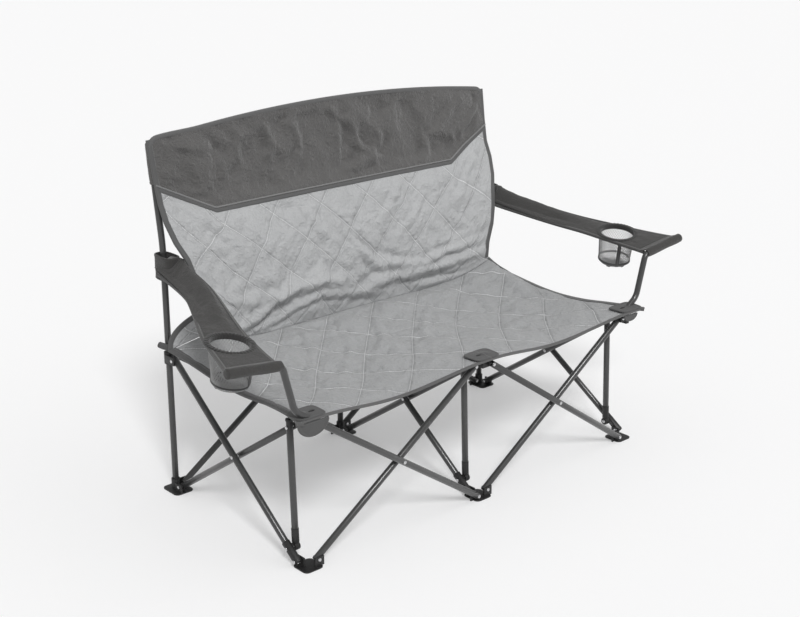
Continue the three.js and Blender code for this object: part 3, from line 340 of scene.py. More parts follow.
def woven(name, level, warm=0.0, quilted=0.0, contrast=9, sheen=0.25, rumpled=0.014, dull=0.68, groove=0.3):
    cloth = Finish(name, grey(level, warm), 0.8)
    cloth.shader.inputs["Sheen Weight"].default_value = sheen
    cloth.shader.inputs["Sheen Roughness"].default_value = 0.5
    across, along, flat = cloth.cloth_place()
    turn = 2 * math.pi / weave_pitch
    threads = (across * turn).wave() * (along * turn).wave()
    warp = cloth.mottle(cloth.stretched(flat, (900.0, 60.0, 1.0)), 1.0, 3.0)
    weft = cloth.mottle(cloth.stretched(flat, (60.0, 900.0, 1.0)), 1.0, 3.0)
    slubs = (warp + weft) * 0.5
    clouds = cloth.mottle(flat, 14.0, 4.0)
    heather = cloth.mottle(flat, 260.0, 5.0, 0.75)
    tone = slubs * 0.9 + clouds * 0.5 + heather * 1.5 + threads * 0.05 - 0.95
    colour = cloth.blend(tone, grey(level - contrast, warm), grey(level + contrast, warm))
    height = threads * 0.5 + slubs * 0.9
    rumple = cloth.mottle(flat, 46.0, 4.0, 0.6)
    ridges = (rumple - 0.5).size()
    # Painted shade: the colour darkens towards six tenths of its level where the hollow attribute marks a deep fold.
    hollow = cloth.node("ShaderNodeAttribute", {"attribute_name": "hollow"}, out=2)
    deep = hollow - 0.4
    colour = cloth.blend(deep.maths("MAXIMUM", deep, 0.0) * 0.5, colour, grey(level * 0.6, warm))
    normal = cloth.bump(ridges, rumpled, 0.6, cloth.bump(height, 0.00035, 0.55))
    if quilted:
        rising, falling = (across + along) / quilt_pitch, (across - along) / quilt_pitch
        apart = quilt_pitch / math.sqrt(2)
        from_rising, from_falling = rising.from_line() * apart, falling.from_line() * apart
        dash_a = (falling * stitches_per_diamond).from_line().below(0.41, 0.06)
        dash_b = (rising * stitches_per_diamond).from_line().below(0.41, 0.06)
        thread_a = from_rising.below(quilted, 0.0004) * dash_a
        thread_b = from_falling.below(0.00075, 0.0003) * dash_b
        stitch = thread_a.maths("MAXIMUM", thread_a, thread_b)
        near = from_rising.maths("MINIMUM", from_rising, from_falling)
        pucker = near.below(0.003, 0.003)
        # Painted shade: the cloth beside each line of stitches is darkened, standing for the shade in its pucker;
        # groove sets how much, and also how pale the thread is.
        colour = cloth.blend(pucker * groove, colour, grey(level - 45, warm))
        colour = cloth.blend(stitch, colour, grey(level + 160 * groove, warm))
        normal = cloth.bump(stitch * 0.5 - pucker, 0.0022, 0.9, normal)
    cloth.feed("Base Color", colour)
    cloth.feed("Roughness", slubs * 0.2 + dull)
    cloth.feed("Normal", normal)
    return cloth


# The seat's cloth is a darker grey than the back's: partly its own colour, partly painted shade, as the seat faces up,
# away from the key light.
seat_cloth = woven("quilted_seat_cloth", 158, -1, quilted=0.0014, contrast=17, rumpled=0.026, groove=0.42)
back_cloth = woven("quilted_back_cloth", 175, -1, quilted=0.0010, contrast=14, rumpled=0.023)
dark_cloth = woven("dark_woven_cloth", 80, 1.0, contrast=9, sheen=0.3, rumpled=0.024, dull=0.38)
print("cloths:", seat_cloth.material.name, back_cloth.material.name, dark_cloth.material.name)

# %% [markdown]
# ## Webbing and tape
# The edges are bound in ribbed tape and the corners are covered in webbing. Both show fine ribs
# across them and one line of stitches near the inner edge, drawn from the distance across the tape.


# %% Binding tape
def taped(name, level, warm, stitch_at, stitch_level, rib=0.0016):
    tape = Finish(name, grey(level, warm), 0.75)
    tape.shader.inputs["Sheen Weight"].default_value = 0.2
    across, along, flat = tape.cloth_place()
    ribs = (along * (2 * math.pi / rib)).wave()
    fuzz = tape.mottle(flat, 420.0, 4.0)
    line = (across - stitch_at).size().below(0.0006, 0.00025)
    stitch = line * (along / 0.0042).from_line().below(0.36, 0.06)
    tone = ribs * 0.16 + fuzz * 0.7 + 0.12
    colour = tape.blend(tone, grey(level - 12, warm), grey(level + 12, warm))
    tape.feed("Base Color", tape.blend(stitch, colour, grey(stitch_level, warm)))
    tape.feed("Roughness", fuzz * 0.25 + 0.62)
    tape.feed("Normal", tape.bump(ribs * 0.4 + fuzz * 0.5 + stitch, 0.0004, 0.6))
    return tape


dark_tape = taped("dark_binding_tape", 84, 0, 0.0125, 118)
webbing = taped("corner_webbing", 76, 0, 0.004, 128, 0.0024)
net_thread = Finish("net_thread", grey(124), 0.6)
net_thread.feed("Base Color", net_thread.blend(net_thread.mottle(net_thread.place(), 700.0), grey(138), grey(178)))
print("tapes:", dark_tape.material.name, webbing.material.name, net_thread.material.name)

# %% [markdown]
# ## A shape made of rings
# Tubes, rivets, tapes and sleeves are all one thing to a modeller: a closed section that is carried
# along a path. Curves could be bevelled into that, but a list of rings also gives open bores,
# domed heads and a flat pattern for the cloth. So one small builder joins rings with quads.


# %% Ring builder
class Shape:
    def __init__(self):
        self.points, self.faces, self.flat = [], [], []

    def loft(self, rings, across=None, ends=(True, True)):
        first, count = len(self.points), len(rings[0])
        self.points += [p for ring in rings for p in ring]
        around = [0.0]
        for i in range(count):
            around.append(around[-1] + (rings[0][(i + 1) % count] - rings[0][i]).length)
        along = [0.0]
        for a, b in zip(rings, rings[1:]):
            along.append(along[-1] + (b[0] - a[0]).length)
        for j in range(len(rings) - 1):
            for i in range(count):
                k = (i + 1) % count
                here, there = first + j * count, first + (j + 1) * count
                self.faces.append([here + i, here + k, there + k, there + i])
                left = across[i] if across else around[i]
                right = across[k] if across else around[i + 1]
                self.flat += [(left, along[j]), (right, along[j]), (right, along[j + 1]), (left, along[j + 1])]
        for wanted, j, order in ((ends[0], 0, -1), (ends[1], len(rings) - 1, 1)):
            if wanted:
                self.faces.append([first + j * count + i for i in range(count)][::order])
                self.flat += [(0.0, 0.0)] * count
        return self

    def finish(self, name, finish, angle=38):
        mesh = bpy.data.meshes.new(name)
        mesh.from_pydata([tuple(p) for p in self.points], [], self.faces)
        flat = mesh.uv_layers.new(name="cloth")
        flat.data.foreach_set("uv", np.array(self.flat, np.float32).ravel())
        mesh.materials.append(finish.material)
        mesh.shade_smooth()
        mesh.set_sharp_from_angle(angle=math.radians(angle))
        mesh.update()
        obj = bpy.data.objects.new(name, mesh)
        scene.collection.objects.link(obj)
        return obj


def frames(points):
    """Two axes square to a path at each of its points, carried along it without twist."""
    last = len(points) - 1
    ways = [(points[min(i + 1, last)] - points[max(i - 1, 0)]).normalized() for i in range(last + 1)]
    side = ways[0].orthogonal().normalized()
    pairs = []
    for way in ways:
        side = (side - way * side.dot(way)).normalized()
        pairs.append((side, way.cross(side)))
    return pairs


def circle(centre, side, up, radius, sides):
    return [centre + side * (radius * math.cos(t)) + up * (radius * math.sin(t)) for t in round_turns(sides)]


def round_turns(count):
    """The angles of count points round a circle."""
    return [2 * math.pi * i / count for i in range(count)]


def fit_out(obj, body, slot_name, *nodes):
    """Rides the piece on its body and hides the solids that it stands for; its slot name is not used."""
    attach(obj, body)
    if nodes:
        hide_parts(*nodes)
    return obj


print("ring builder ready")

# %% [markdown]
# ## Steel tubes
# Each tube is a 16 mm pipe with 1 mm walls. Its ends are cut square and lightly rolled, so the
# loft starts inside the bore, comes out over a small round lip and runs along the outside. The CAD
# solids have twelve flat sides, and these have thirty-two smooth ones in the same place.


# %% Tube and rivet
rivet_radius = 4.5


def tube_rings(points):
    pairs = frames(points)
    outer, inner, sides, deep, lip = tube_radius, bore_radius, 32, 26, 0.4
    rings = []
    for end in (0, -1):
        here, (side, up) = points[end], pairs[end]
        inward = (points[1 if end == 0 else -2] - here).normalized()
        own = [(deep, inner), (lip, inner), (0, inner + lip * 0.7), (0, outer - lip * 0.7), (lip, outer)]
        made = [circle(here + inward * (d / 1000), side, up, r / 1000, sides) for d, r in own]
        rings.append(made if end == 0 else made[::-1])
    middle = [circle(p, s, u, outer / 1000, sides) for p, (s, u) in list(zip(points, pairs))[1:-1]]
    return rings[0] + middle + rings[1]


def head_rings(place, axis):
    """A domed rivet head that stands on a surface at place and points along axis."""
    side = axis.orthogonal().normalized()
    up = axis.cross(side)
    dome = ((-0.4, 1), (0.35, 1), (0.8, 0.93), (1.25, 0.74), (1.62, 0.46), (1.8, 0.14))
    return [circle(place + axis * (d / 1000), side, up, rivet_radius * share / 1000, 20) for d, share in dome]


def toward(a, b, distance):
    """The point at a distance in millimetres from a on the way to b."""
    return a + (b - a).normalized() * (distance / 1000)


def beyond(a, b, distance):
    return b + (b - a).normalized() * (distance / 1000)


def past_pins(low_pin, high_pin, above=5):
    """The two ends of a tube, which goes on a few millimetres past its pins."""
    return [beyond(high_pin, low_pin, 5), beyond(low_pin, high_pin, above)]


def steel(node, body, points, rivets=()):
    """A painted tube through points, and its rivets as (place, axis, back, front) in millimetres."""
    tube = Shape().loft(tube_rings(points)).finish(node + "_smooth", coat)
    fit_out(tube, body, "dark_tube", node)
    if rivets:
        heads = Shape()
        for place, axis, back, front in rivets:
            heads.loft(head_rings(place + axis * (front / 1000), axis))
            heads.loft(head_rings(place + axis * (back / 1000), -axis))
            side = axis.orthogonal().normalized()
            pin = [circle(place + axis * (d / 1000), side, axis.cross(side), 0.0025, 12) for d in (back, front)]
            heads.loft(pin)
        fit_out(heads.finish(node + "_rivets", plated), body, "bright_steel")
    return tube


def bent(corners, radii):
    """A route through corners with a round bend at each inner one."""
    route, steps = [corners[0]], 14
    for i, radius in enumerate(radii):
        corner = corners[i + 1]
        back, on = (corners[i] - corner).normalized(), (corners[i + 2] - corner).normalized()
        half = back.angle(on) / 2
        centre = corner + (back + on).normalized() * (radius / 1000 / math.sin(half))
        start = corner + back * (radius / 1000 / math.tan(half)) - centre
        stop = corner + on * (radius / 1000 / math.tan(half)) - centre
        turn = start.angle(stop)
        for k in range(steps + 1):
            share = k / steps
            arm = (start * math.sin((1 - share) * turn) + stop * math.sin(share * turn)) / math.sin(turn)
            route.append(centre + arm)
    return route + [corners[-1]]


x_axis, y_axis, z_axis = Vector((1, 0, 0)), Vector((0, 1, 0)), Vector((0, 0, 1))
seat_on_tube = tube_radius - 0.4
print("a tube has", len(tube_rings([at(0, 0, 0), at(0, 0, 500)])), "rings")

# %% [markdown]
# ### Side frames
# Each end, and the middle, has two crossed tubes: one from the front foot up to the sliding collar
# on the upright, and one from the rear foot up to the front hub. A post hangs from the second and
# stands on the first, and its rod slides in it as the chair closes.

# %% Side frames
sides = {"left": (-bay, -1), "center": (0, -1), "right": (bay, 1)}
lug_start, hub_lug_start, hub_lug = 8.9, 10.1, 12
eye_from_pin, post_from_pin, short_end = 36, 50, 2.6
boot_reach = tube_radius + 1.8 + 2 * fit
lug_reach = lug_start + ear + fit
for label, (x, out) in sides.items():
    slide_low, slide_high = at(x + out * side_layer, front_setback, low), at(x, rear_pivot, high)
    hub_low, hub_high = at(x, rear_pivot, low), at(x - out * side_layer, front_setback, high)
    outward = x_axis * out
    middle_a, middle_b = (slide_low + slide_high) / 2, (hub_low + hub_high) / 2
    gap = abs(middle_a.x - middle_b.x) * 1000
    post_top, post_foot = toward(hub_high, hub_low, post_from_pin), toward(slide_low, slide_high, eye_from_pin)
    steel(f"side_strut_front_{label}", f"side_front_{label}", past_pins(slide_low, slide_high),
          [(slide_low, outward, -lug_reach, boot_reach), (middle_a, outward, -gap - tube_radius - fit, seat_on_tube),
           (slide_high, outward, -seat_on_tube, lug_reach), (post_foot, outward, -side_layer - 6.5, boot_reach)])
    steel(f"side_strut_rear_{label}", f"side_rear_{label}", past_pins(hub_low, hub_high, above=short_end),
          [(hub_low, outward, -seat_on_tube, lug_reach),
           (hub_high, outward, -seat_on_tube, hub_lug_start + hub_lug + fit),
           (post_top, outward, -seat_on_tube, side_layer + tube_radius)])
    post_top.x = post_foot.x = x / 1000
    up = (post_top - post_foot).normalized()
    steel(f"front_post_{label}", f"post_{label}", [post_foot + up * 0.0443, post_top + up * 0.014])
    rod_side = up.orthogonal().normalized()
    post_length = (post_top - post_foot).length
    rod_ends = ((0.0106, 0.004), (0.0111, 0.0045), (post_length - 0.0102, 0.0045), (post_length - 0.0097, 0.004))
    rod_rings = [circle(post_foot + up * h, rod_side, up.cross(rod_side), r, 24) for h, r in rod_ends]
    rod = Shape().loft(rod_rings).finish(f"post_rod_{label}_smooth", plated)
    fit_out(rod, f"post_rod_{label}", "bright_steel", f"post_rod_{label}")
print("side frames done; post length", round(post_length * 1000, 1), "mm")

# %% [markdown]
# ### Front and rear rows
# The rows of crossed tubes between the feet set the width. In front, one tube of each bay doesn't
# stop at the corner hub: it goes on, bends up outside the seat and then out under the armrest's
# front hem, where it carries the arm.


# %% Rows of crossed tubes
def front_layer(side):
    return -layer if side < 0 else 0


def arm_corners(side):
    y = front_layer(side)
    pivot = at(side * (bay - end_offset), y, high)
    first = pivot + Vector((side * math.cos(tilt), 0, math.sin(tilt))) * 0.078
    lean = math.radians(15)
    second = first + Vector((side * math.sin(lean), 0, math.cos(lean))) * 0.118
    rise = math.radians(7)
    return [pivot, first, second, second + Vector((side * math.cos(rise), 0, math.sin(rise))) * 0.142]


def reaches(front, far):
    """How far a rivet goes back and forward from its tube, which lies in front or behind."""
    return (-seat_on_tube, far) if front else (-far, seat_on_tube)


plate = tube_radius + fit + ear + fit
flange = tube_radius + fit + 5 + fit
through_both = layer + tube_radius + fit
for side, label in ((-1, "left"), (1, "right")):
    near_x, far_x = side * end_offset, side * (bay - end_offset)
    outer_y, inner_y = rear_line - layer / 2, rear_line + layer / 2
    outer_low, outer_high = at(far_x, outer_y, low), at(near_x, outer_y, high)
    inner_low, inner_high = at(near_x, inner_y, low), at(far_x, inner_y, high)
    steel(f"rear_strut_outer_{label}", f"rear_outer_{label}", past_pins(outer_low, outer_high, above=short_end),
          [(outer_low, y_axis, -seat_on_tube, plate), (outer_high, y_axis, -seat_on_tube, plate),
           ((outer_low + outer_high) / 2, y_axis, -seat_on_tube, through_both)])
    steel(f"rear_strut_inner_{label}", f"rear_inner_{label}", past_pins(inner_low, inner_high),
          [(inner_low, y_axis, -plate, seat_on_tube), (inner_high, y_axis, -plate, seat_on_tube)])
    arm_y = front_layer(side)
    plain_y = -layer - arm_y
    plain_low, plain_high = at(far_x, plain_y, low), at(near_x, plain_y, high)
    plain_front = plain_y < arm_y
    steel(f"front_strut_{label}", f"front_plain_{label}", past_pins(plain_low, plain_high),
          [(plain_low, y_axis, *reaches(plain_front, plate)), (plain_high, y_axis, -seat_on_tube, flange),
           ((plain_low + plain_high) / 2, y_axis, *reaches(plain_front, through_both))])
    corners = arm_corners(side)
    arm_low = at(near_x, arm_y, low)
    route = bent([beyond(corners[0], arm_low, 5), *corners[1:]], [42, 22])
    steel(f"arm_tube_{label}", f"arm_{label}", route,
          [(arm_low, y_axis, *reaches(not plain_front, plate)),
           (corners[0], y_axis, *reaches(not plain_front, flange))])
print("rows done; arm tube ends at", [round(c, 3) for c in corners[3]])

# %% [markdown]
# ### Uprights
# Three uprights carry the back. Each stands in its foot's socket, and above the arms it leans back
# by about eight degrees in one long bend.

# %% Uprights
back_top = 374.01 + 556
bend_height, upright_height = back_top - 290, back_top - 46
upright_lean = math.radians(8.2)
for label, body in (("left", "rear_leg_left"), ("center", "rear_center_leg"), ("right", "rear_leg_right")):
    x = sides[label][0]
    corner = at(x, rear_line, bend_height)
    top = corner + Vector((0, math.tan(upright_lean), 1)) * ((upright_height - bend_height) / 1000)
    steel(f"upright_{label}", body, bent([at(x, rear_line, 5), corner, top], [450]))
print("uprights reach", round(top.z, 3), "m")

# %% [markdown]
# ## Moulded fittings
# The CAD solids of the feet, hubs, collars, boots and shoes have the right shape with sharp edges,
# which no moulding has. A copy of each solid gets its flat faces merged, a small bevel all round
# and smooth shading, and it takes the solid's place.


# %% Soft-edged fittings
foot_plate_top, foot_corner = 0.012, 0.011


def is_foot_corner(edge):
    """Whether the edge is one of the four upright corners of a foot's plate."""
    length = edge.calc_length()
    if len(edge.link_faces) != 2 or length <= 0.002 or max(v.co.z for v in edge.verts) >= foot_plate_top:
        return False
    rise = abs(edge.verts[0].co.z - edge.verts[1].co.z)
    return rise > 0.95 * length and edge.is_convex and edge.calc_face_angle(0) > 1.2


def softened(node, body, width):
    """A copy of a solid with its edges bevelled by a width in millimetres, in its place."""
    mesh = frame["nodes"][node].data.copy()
    mesh.materials.clear()
    shape = bmesh.new()
    shape.from_mesh(mesh)
    bmesh.ops.remove_doubles(shape, verts=shape.verts, dist=1e-5)
    bmesh.ops.dissolve_limit(shape, angle_limit=math.radians(1.0), verts=shape.verts, edges=shape.edges)
    if "foot" in node:
        bmesh.ops.bevel(shape, geom=[e for e in shape.edges if is_foot_corner(e)], offset=foot_corner,
                        offset_type="OFFSET", segments=6, profile=0.5, affect="EDGES", clamp_overlap=True)
    sharp = [e for e in shape.edges if len(e.link_faces) == 2 and e.calc_face_angle(0) > math.radians(30)]
    bmesh.ops.bevel(shape, geom=sharp, offset=width / 1000, offset_type="OFFSET", segments=2, profile=0.6,
                    affect="EDGES", clamp_overlap=True)
    bmesh.ops.triangulate(shape, faces=[f for f in shape.faces if len(f.verts) > 4])
    shape.to_mesh(mesh)
    shape.free()
    for layer_name in [u.name for u in mesh.uv_layers]:
        mesh.uv_layers.remove(mesh.uv_layers[layer_name])
    mesh.materials.append(nylon.material)
    mesh.polygons.foreach_set("material_index", [0] * len(mesh.polygons))
    mesh.shade_smooth()
    mesh.set_sharp_from_angle(angle=math.radians(44))
    obj = bpy.data.objects.new(node + "_moulded", mesh)
    scene.collection.objects.link(obj)
    return fit_out(obj, body, "black_plastic", node)


moulded = ("front_foot", "rear_foot", "front_hub", "collar_", "strut_boot", "post_shoe", "post_cap")
plastic_nodes = [(body, node) for body, nodes in frame["record"]["behaviour"]["bodies"].items()
                 for node in nodes if node.startswith(moulded)]
for body, node in plastic_nodes:
    softened(node, body, 0.45 if node.startswith(("post_", "strut_")) else 0.9)
print(len(plastic_nodes), "moulded fittings")

# %% [markdown]
# ## Cloth pads
# Seat and back are two layers of cloth with thin wadding between them, sewn together in diamonds.
# A pad starts as a grid of points on its middle surface with a half thickness at each, which gives
# a closed shell. Then Blender's Cloth blows it up gently while the stitches and the edges are held,
# so every diamond swells on its own and the cloth between the stitches puckers as real cloth does.

# %% Pad builder
step = 39


def pad(name, middle, half, wide, long, flat_at, finish):
    """A closed shell. middle(i, j) is a point and half(i, j) a half thickness in metres."""
    grid = np.array([[middle(i, j) for i in range(wide + 1)] for j in range(long + 1)])
    normal = np.cross(np.gradient(grid, axis=1), np.gradient(grid, axis=0))
    normal /= np.linalg.norm(normal, axis=2, keepdims=True)
    thick = np.array([[half(i, j) for i in range(wide + 1)] for j in range(long + 1)])[:, :, None]
    points = np.concatenate([(grid + normal * thick).reshape(-1, 3), (grid - normal * thick).reshape(-1, 3)])
    under = (wide + 1) * (long + 1)
    up = lambda i, j: j * (wide + 1) + i
    down = lambda i, j: under + up(i, j)
    faces = []
    for j in range(long):
        for i in range(wide):
            faces.append((up(i, j), up(i + 1, j), up(i + 1, j + 1), up(i, j + 1)))
            faces.append((down(i, j), down(i, j + 1), down(i + 1, j + 1), down(i + 1, j)))
    for i in range(wide):
        faces.append((up(i + 1, 0), up(i, 0), down(i, 0), down(i + 1, 0)))
        faces.append((up(i, long), up(i + 1, long), down(i + 1, long), down(i, long)))
    for j in range(long):
        faces.append((up(0, j), up(0, j + 1), down(0, j + 1), down(0, j)))
        faces.append((up(wide, j + 1), up(wide, j), down(wide, j), down(wide, j + 1)))
    mesh = bpy.data.meshes.new(name)
    mesh.from_pydata(points.tolist(), [], faces)
    flat = np.array([flat_at(i, j) for j in range(long + 1) for i in range(wide + 1)], np.float32)
    flat = np.concatenate([flat, flat])
    corner_points = np.empty(len(mesh.loops), np.int32)
    mesh.loops.foreach_get("vertex_index", corner_points)
    mesh.uv_layers.new(name="cloth").data.foreach_set("uv", flat[corner_points].ravel())
    row = mesh.attributes.new("row", "FLOAT", "POINT")
    row.data.foreach_set("value", np.tile(np.repeat(np.arange(long + 1, dtype=np.float32), wide + 1), 2))
    mesh.materials.append(finish.material)
    mesh.shade_smooth()
    obj = bpy.data.objects.new(name, mesh)
    scene.collection.objects.link(obj)
    return obj


def coordinates(mesh):
    found = np.empty(len(mesh.vertices) * 3, np.float32)
    mesh.vertices.foreach_get("co", found)
    return found.reshape(-1, 3)


def baked(obj):
    """The object's mesh with its modifiers applied."""
    bpy.context.view_layer.update()
    mesh = bpy.data.meshes.new_from_object(obj.evaluated_get(bpy.context.evaluated_depsgraph_get()))
    obj.modifiers.clear()
    mesh.name = obj.name
    obj.data = mesh
    return obj


def blown(obj, held, loose, cap, pressure, spare, stiffness=12.0):
    """Cloth under pressure with the held points fixed. No point moves further than cap times its loose."""
    rest, frames_run = coordinates(obj.data), 18
    group = obj.vertex_groups.new(name="held")
    group.add([i for i, fixed in enumerate(held) if fixed], 1.0, "REPLACE")
    modifier = obj.modifiers.new("cloth", "CLOTH")
    cloth = modifier.settings
    cloth.quality = 4
    cloth.mass = 0.25
    cloth.tension_stiffness = cloth.compression_stiffness = stiffness
    cloth.shear_stiffness = stiffness * 0.5
    cloth.bending_stiffness = 0.05
    cloth.use_pressure = True
    cloth.uniform_pressure_force = pressure
    cloth.shrink_min = -spare
    cloth.vertex_group_mass = "held"
    cloth.effector_weights.gravity = 0
    modifier.collision_settings.use_collision = False
    modifier.point_cache.frame_start, modifier.point_cache.frame_end = 1, frames_run
    for number in range(1, frames_run + 1):
        scene.frame_set(number)
    moved = coordinates(obj.evaluated_get(bpy.context.evaluated_depsgraph_get()).data) - rest
    far = np.linalg.norm(moved, axis=1, keepdims=True)
    moved *= np.minimum(1, cap / np.maximum(far, 1e-9)) * np.array(loose + loose)[:, None]
    obj.modifiers.clear()
    obj.data.vertices.foreach_set("co", (rest + moved).ravel())
    obj.data.update()
    scene.frame_set(1)
    return float(np.median(far)) * 1000


def rounder(obj):
    modifier = obj.modifiers.new("rounder", "SUBSURF")
    modifier.levels = modifier.render_levels = 1
    return baked(obj)


def mark_painted_fold_shade(obj):
    """Marks how deep each point lies in a fold: its depth below the cloth smoothed a little and a lot.
    The cloth's colour is darkened where this is deep, which is painted shade in the folds."""
    mesh, fine_scale, broad_scale = obj.data, 0.0008, 0.0034
    points = coordinates(mesh)
    pairs = np.empty(len(mesh.edges) * 2, np.int32)
    mesh.edges.foreach_get("vertices", pairs)
    a, b = pairs.reshape(-1, 2).T
    count = np.zeros((len(points), 1), np.float32)
    np.add.at(count, a, 1)
    np.add.at(count, b, 1)
    normals = np.empty(len(points) * 3, np.float32)
    mesh.vertex_normals.foreach_get("vector", normals)
    normals = normals.reshape(-1, 3)
    soft, found = points.copy(), {}
    for turn in range(1, 17):
        total = np.zeros_like(soft)
        np.add.at(total, a, soft[b])
        np.add.at(total, b, soft[a])
        soft = total / count
        if turn in (3, 16):
            found[turn] = ((soft - points) * normals).sum(axis=1)
    fine_share, broad_share = np.clip(found[3] / fine_scale, -1, 1), np.clip(found[16] / broad_scale, -1, 1)
    depth = fine_share * 0.5 + broad_share * 0.5
    mesh.attributes.new("hollow", "FLOAT", "POINT").data.foreach_set("value", depth.astype(np.float32))
    return float(np.abs(depth).mean())


def quilt_swell(i, j, fine):
    """0 on the stitch lines and 1 in the middle of a diamond, on a grid of fine points a step."""
    a = abs(math.sin(math.pi * (i + j) / (4 * fine)))
    b = abs(math.sin(math.pi * (i - j) / (4 * fine)))
    return math.sqrt(min(a, b) * (0.35 + 0.65 * a * b))


def on_stitch(i, j, fine):
    return (i + j) % (4 * fine) == 0 or (i - j) % (4 * fine) == 0


print("pad builder ready")

# %% [markdown]
# Cloth creases where it is pulled, and the photograph shows where. A crease is a line read off the
# picture. It is carried back onto the cloth through the camera, and there it raises a ridge
# with a sharp crest, a valley on one side and ends that die out. Fine crumples come from noise
# folded at its zero, which has crests too.


# %% Creases
eye_turn = np.array(camera.rotation_euler.to_matrix())
eye_place = np.array(camera.location)
picture_width, picture_height = 800, 617
focal = lens.lens / lens.sensor_width * picture_width


def on_picture(points):
    """Where points of the scene fall in the photograph, in its pixels."""
    own = (np.asarray(points) - eye_place) @ eye_turn
    right, up = focal * own[..., 0] / -own[..., 2], focal * own[..., 1] / -own[..., 2]
    return np.stack([picture_width / 2 + right, picture_height / 2 - up], -1)


def crease_map(surface, wide, long, cell_x, cell_y, lines):
    """Heights in millimetres on a grid of the cloth, from lines as (points in the picture, width, height)."""
    grid = np.array([[surface(i, j) for i in range(wide + 1)] for j in range(long + 1)])
    seen = on_picture(grid)
    flat_x, flat_y = np.meshgrid(np.arange(wide + 1) * cell_x, np.arange(long + 1) * cell_y)
    total = np.zeros(flat_x.shape)
    for points, width, height in lines:
        own = []
        for x, y in points:
            nearest = int(np.hypot(seen[..., 0] - x, seen[..., 1] - y).argmin())
            j, i = np.unravel_index(nearest, flat_x.shape)
            own.append((flat_x[j, i], flat_y[j, i]))
        own = np.array(own)
        lengths = np.hypot(*(own[1:] - own[:-1]).T)
        before = np.concatenate([[0], np.cumsum(lengths)])
        best = np.full(flat_x.shape, 1e9)
        side, share = np.zeros(flat_x.shape), np.zeros(flat_x.shape)
        for k in range(len(own) - 1):
            if lengths[k] < 1e-6:
                continue
            way = (own[k + 1] - own[k]) / lengths[k]
            dx, dy = flat_x - own[k][0], flat_y - own[k][1]
            along = np.clip(dx * way[0] + dy * way[1], 0, lengths[k])
            gap = np.hypot(dx - way[0] * along, dy - way[1] * along)
            closer = gap < best
            best = np.where(closer, gap, best)
            side = np.where(closer, np.sign(way[0] * dy - way[1] * dx), side)
            share = np.where(closer, (before[k] + along) / before[-1], share)
        g = best / (width * (0.75 + 0.5 * share))
        crest = np.exp(-(g**1.35))
        valley = np.where(side < 0, 0.42 * np.exp(-((g - 1.55) ** 2) * 1.8), 0.18 * np.exp(-((g - 1.8) ** 2) * 1.2))
        total += height * (crest - valley) * np.sin(np.pi * np.clip(share * 0.9 + 0.07, 0, 1)) ** 0.7
    return total


def drift(place, size, strength, seed):
    """A soft height from noise, the same at each run."""
    return strength * noise.noise(Vector((place[0] / size, place[1] / size, seed)))


def crumples(place, size, strength, seed):
    """Crests from noise that meet at angles, as in cloth that has been packed."""
    warp = 0.35 * noise.noise(Vector((place[1] / size, place[0] / size, seed + 7)))
    folded = abs(noise.noise(Vector((place[0] / size + warp, place[1] / size - warp, seed))))
    return strength * (0.5 - 2.2 * folded)


print("a point of the seat's front falls at", on_picture([at(0, -28, 374)]).round(1).tolist())

# %% [markdown]
# ## Seat
# The seat hangs from six points: the three front hubs and the back's lower edge. It dips between
# them, its front hem curves in and down in each bay, and its rear corners rise to the back.

# %% Seat surface
seat_height = 374.01
seat_rear_y, crease_y, wing = rear_line - 52.7, 249.95, 474.05
fine = 5
columns = 28 * fine


def seat_side(v):
    return mix(bay + 46, bay + 8, clamp(v / 0.3) ** 0.6)


def seat_front_y(x):
    return -28 + 16 * math.sin(math.pi * x / bay) ** 2


def seat_rear(u):
    side = abs(u)
    if side <= 0.86:
        share = side / 0.86
        return u / 0.86 * wing, seat_rear_y - 36 * share**2, seat_height + 54 * share**5
    share = (side - 0.86) / 0.14
    x = math.copysign(mix(wing, bay + 8, share), u)
    return x, mix(seat_rear_y - 36, rear_line - 13.7, share), mix(seat_height + 54, seat_height + 2, share)


def seat_point(u, v):
    rear_x, rear_y, rear_z = seat_rear(u)
    x = mix(u * seat_side(v), rear_x, v**4)
    y = mix(seat_front_y(x), rear_y, v)
    hem = 26 * math.sin(math.pi * x / bay) ** 2 * (1 - v)
    return x, y, seat_height - hem - 20 * math.sin(math.pi * v) ** 2 + (rear_z - seat_height) * v**4


crease_share = (crease_y + 28) / (seat_rear_y + 28)


def seat_share(j):
    half_rows = 6 * fine
    return j / half_rows * crease_share if j <= half_rows else mix(crease_share, 1, (j - half_rows) / half_rows)


seat_lines = (
    (((226, 334), (262, 343), (300, 341), (330, 333)), 13, 4.5), (((232, 340), (254, 358), (272, 376)), 13, 4.5),
    (((496, 268), (472, 286), (440, 298), (410, 300)), 13, 5), (((498, 270), (520, 290), (548, 304)), 13, 4),
    (((372, 312), (384, 340), (374, 368)), 11, 3.5), (((430, 303), (424, 328), (438, 352)), 11, 3.5),
    (((300, 330), (316, 356), (312, 384)), 12, 4), (((560, 308), (522, 322), (492, 342)), 14, 3.5),
    (((338, 322), (352, 350), (344, 384)), 11, 3.5), (((240, 336), (282, 330), (326, 322), (352, 310)), 12, 5),
    (((470, 290), (492, 310), (500, 334)), 12, 3), (((250, 372), (276, 384), (300, 402)), 14, 3.5))
seat_rows = 12 * fine
seat_creases = crease_map(lambda i, j: at(*seat_point(2 * i / columns - 1, seat_share(j))),
                          columns, seat_rows, step / fine, step / fine, seat_lines)


def by_hub(i, j):
    """1 at the three front hubs, where the cloth is screwed down flat, and 0 away from them."""
    x, y, _ = seat_point(2 * i / columns - 1, seat_share(j))
    far = min(math.hypot(abs(x) - bay, y - 10), math.hypot(x, y - 10))
    return 1 - smooth((far - 46) / 34)


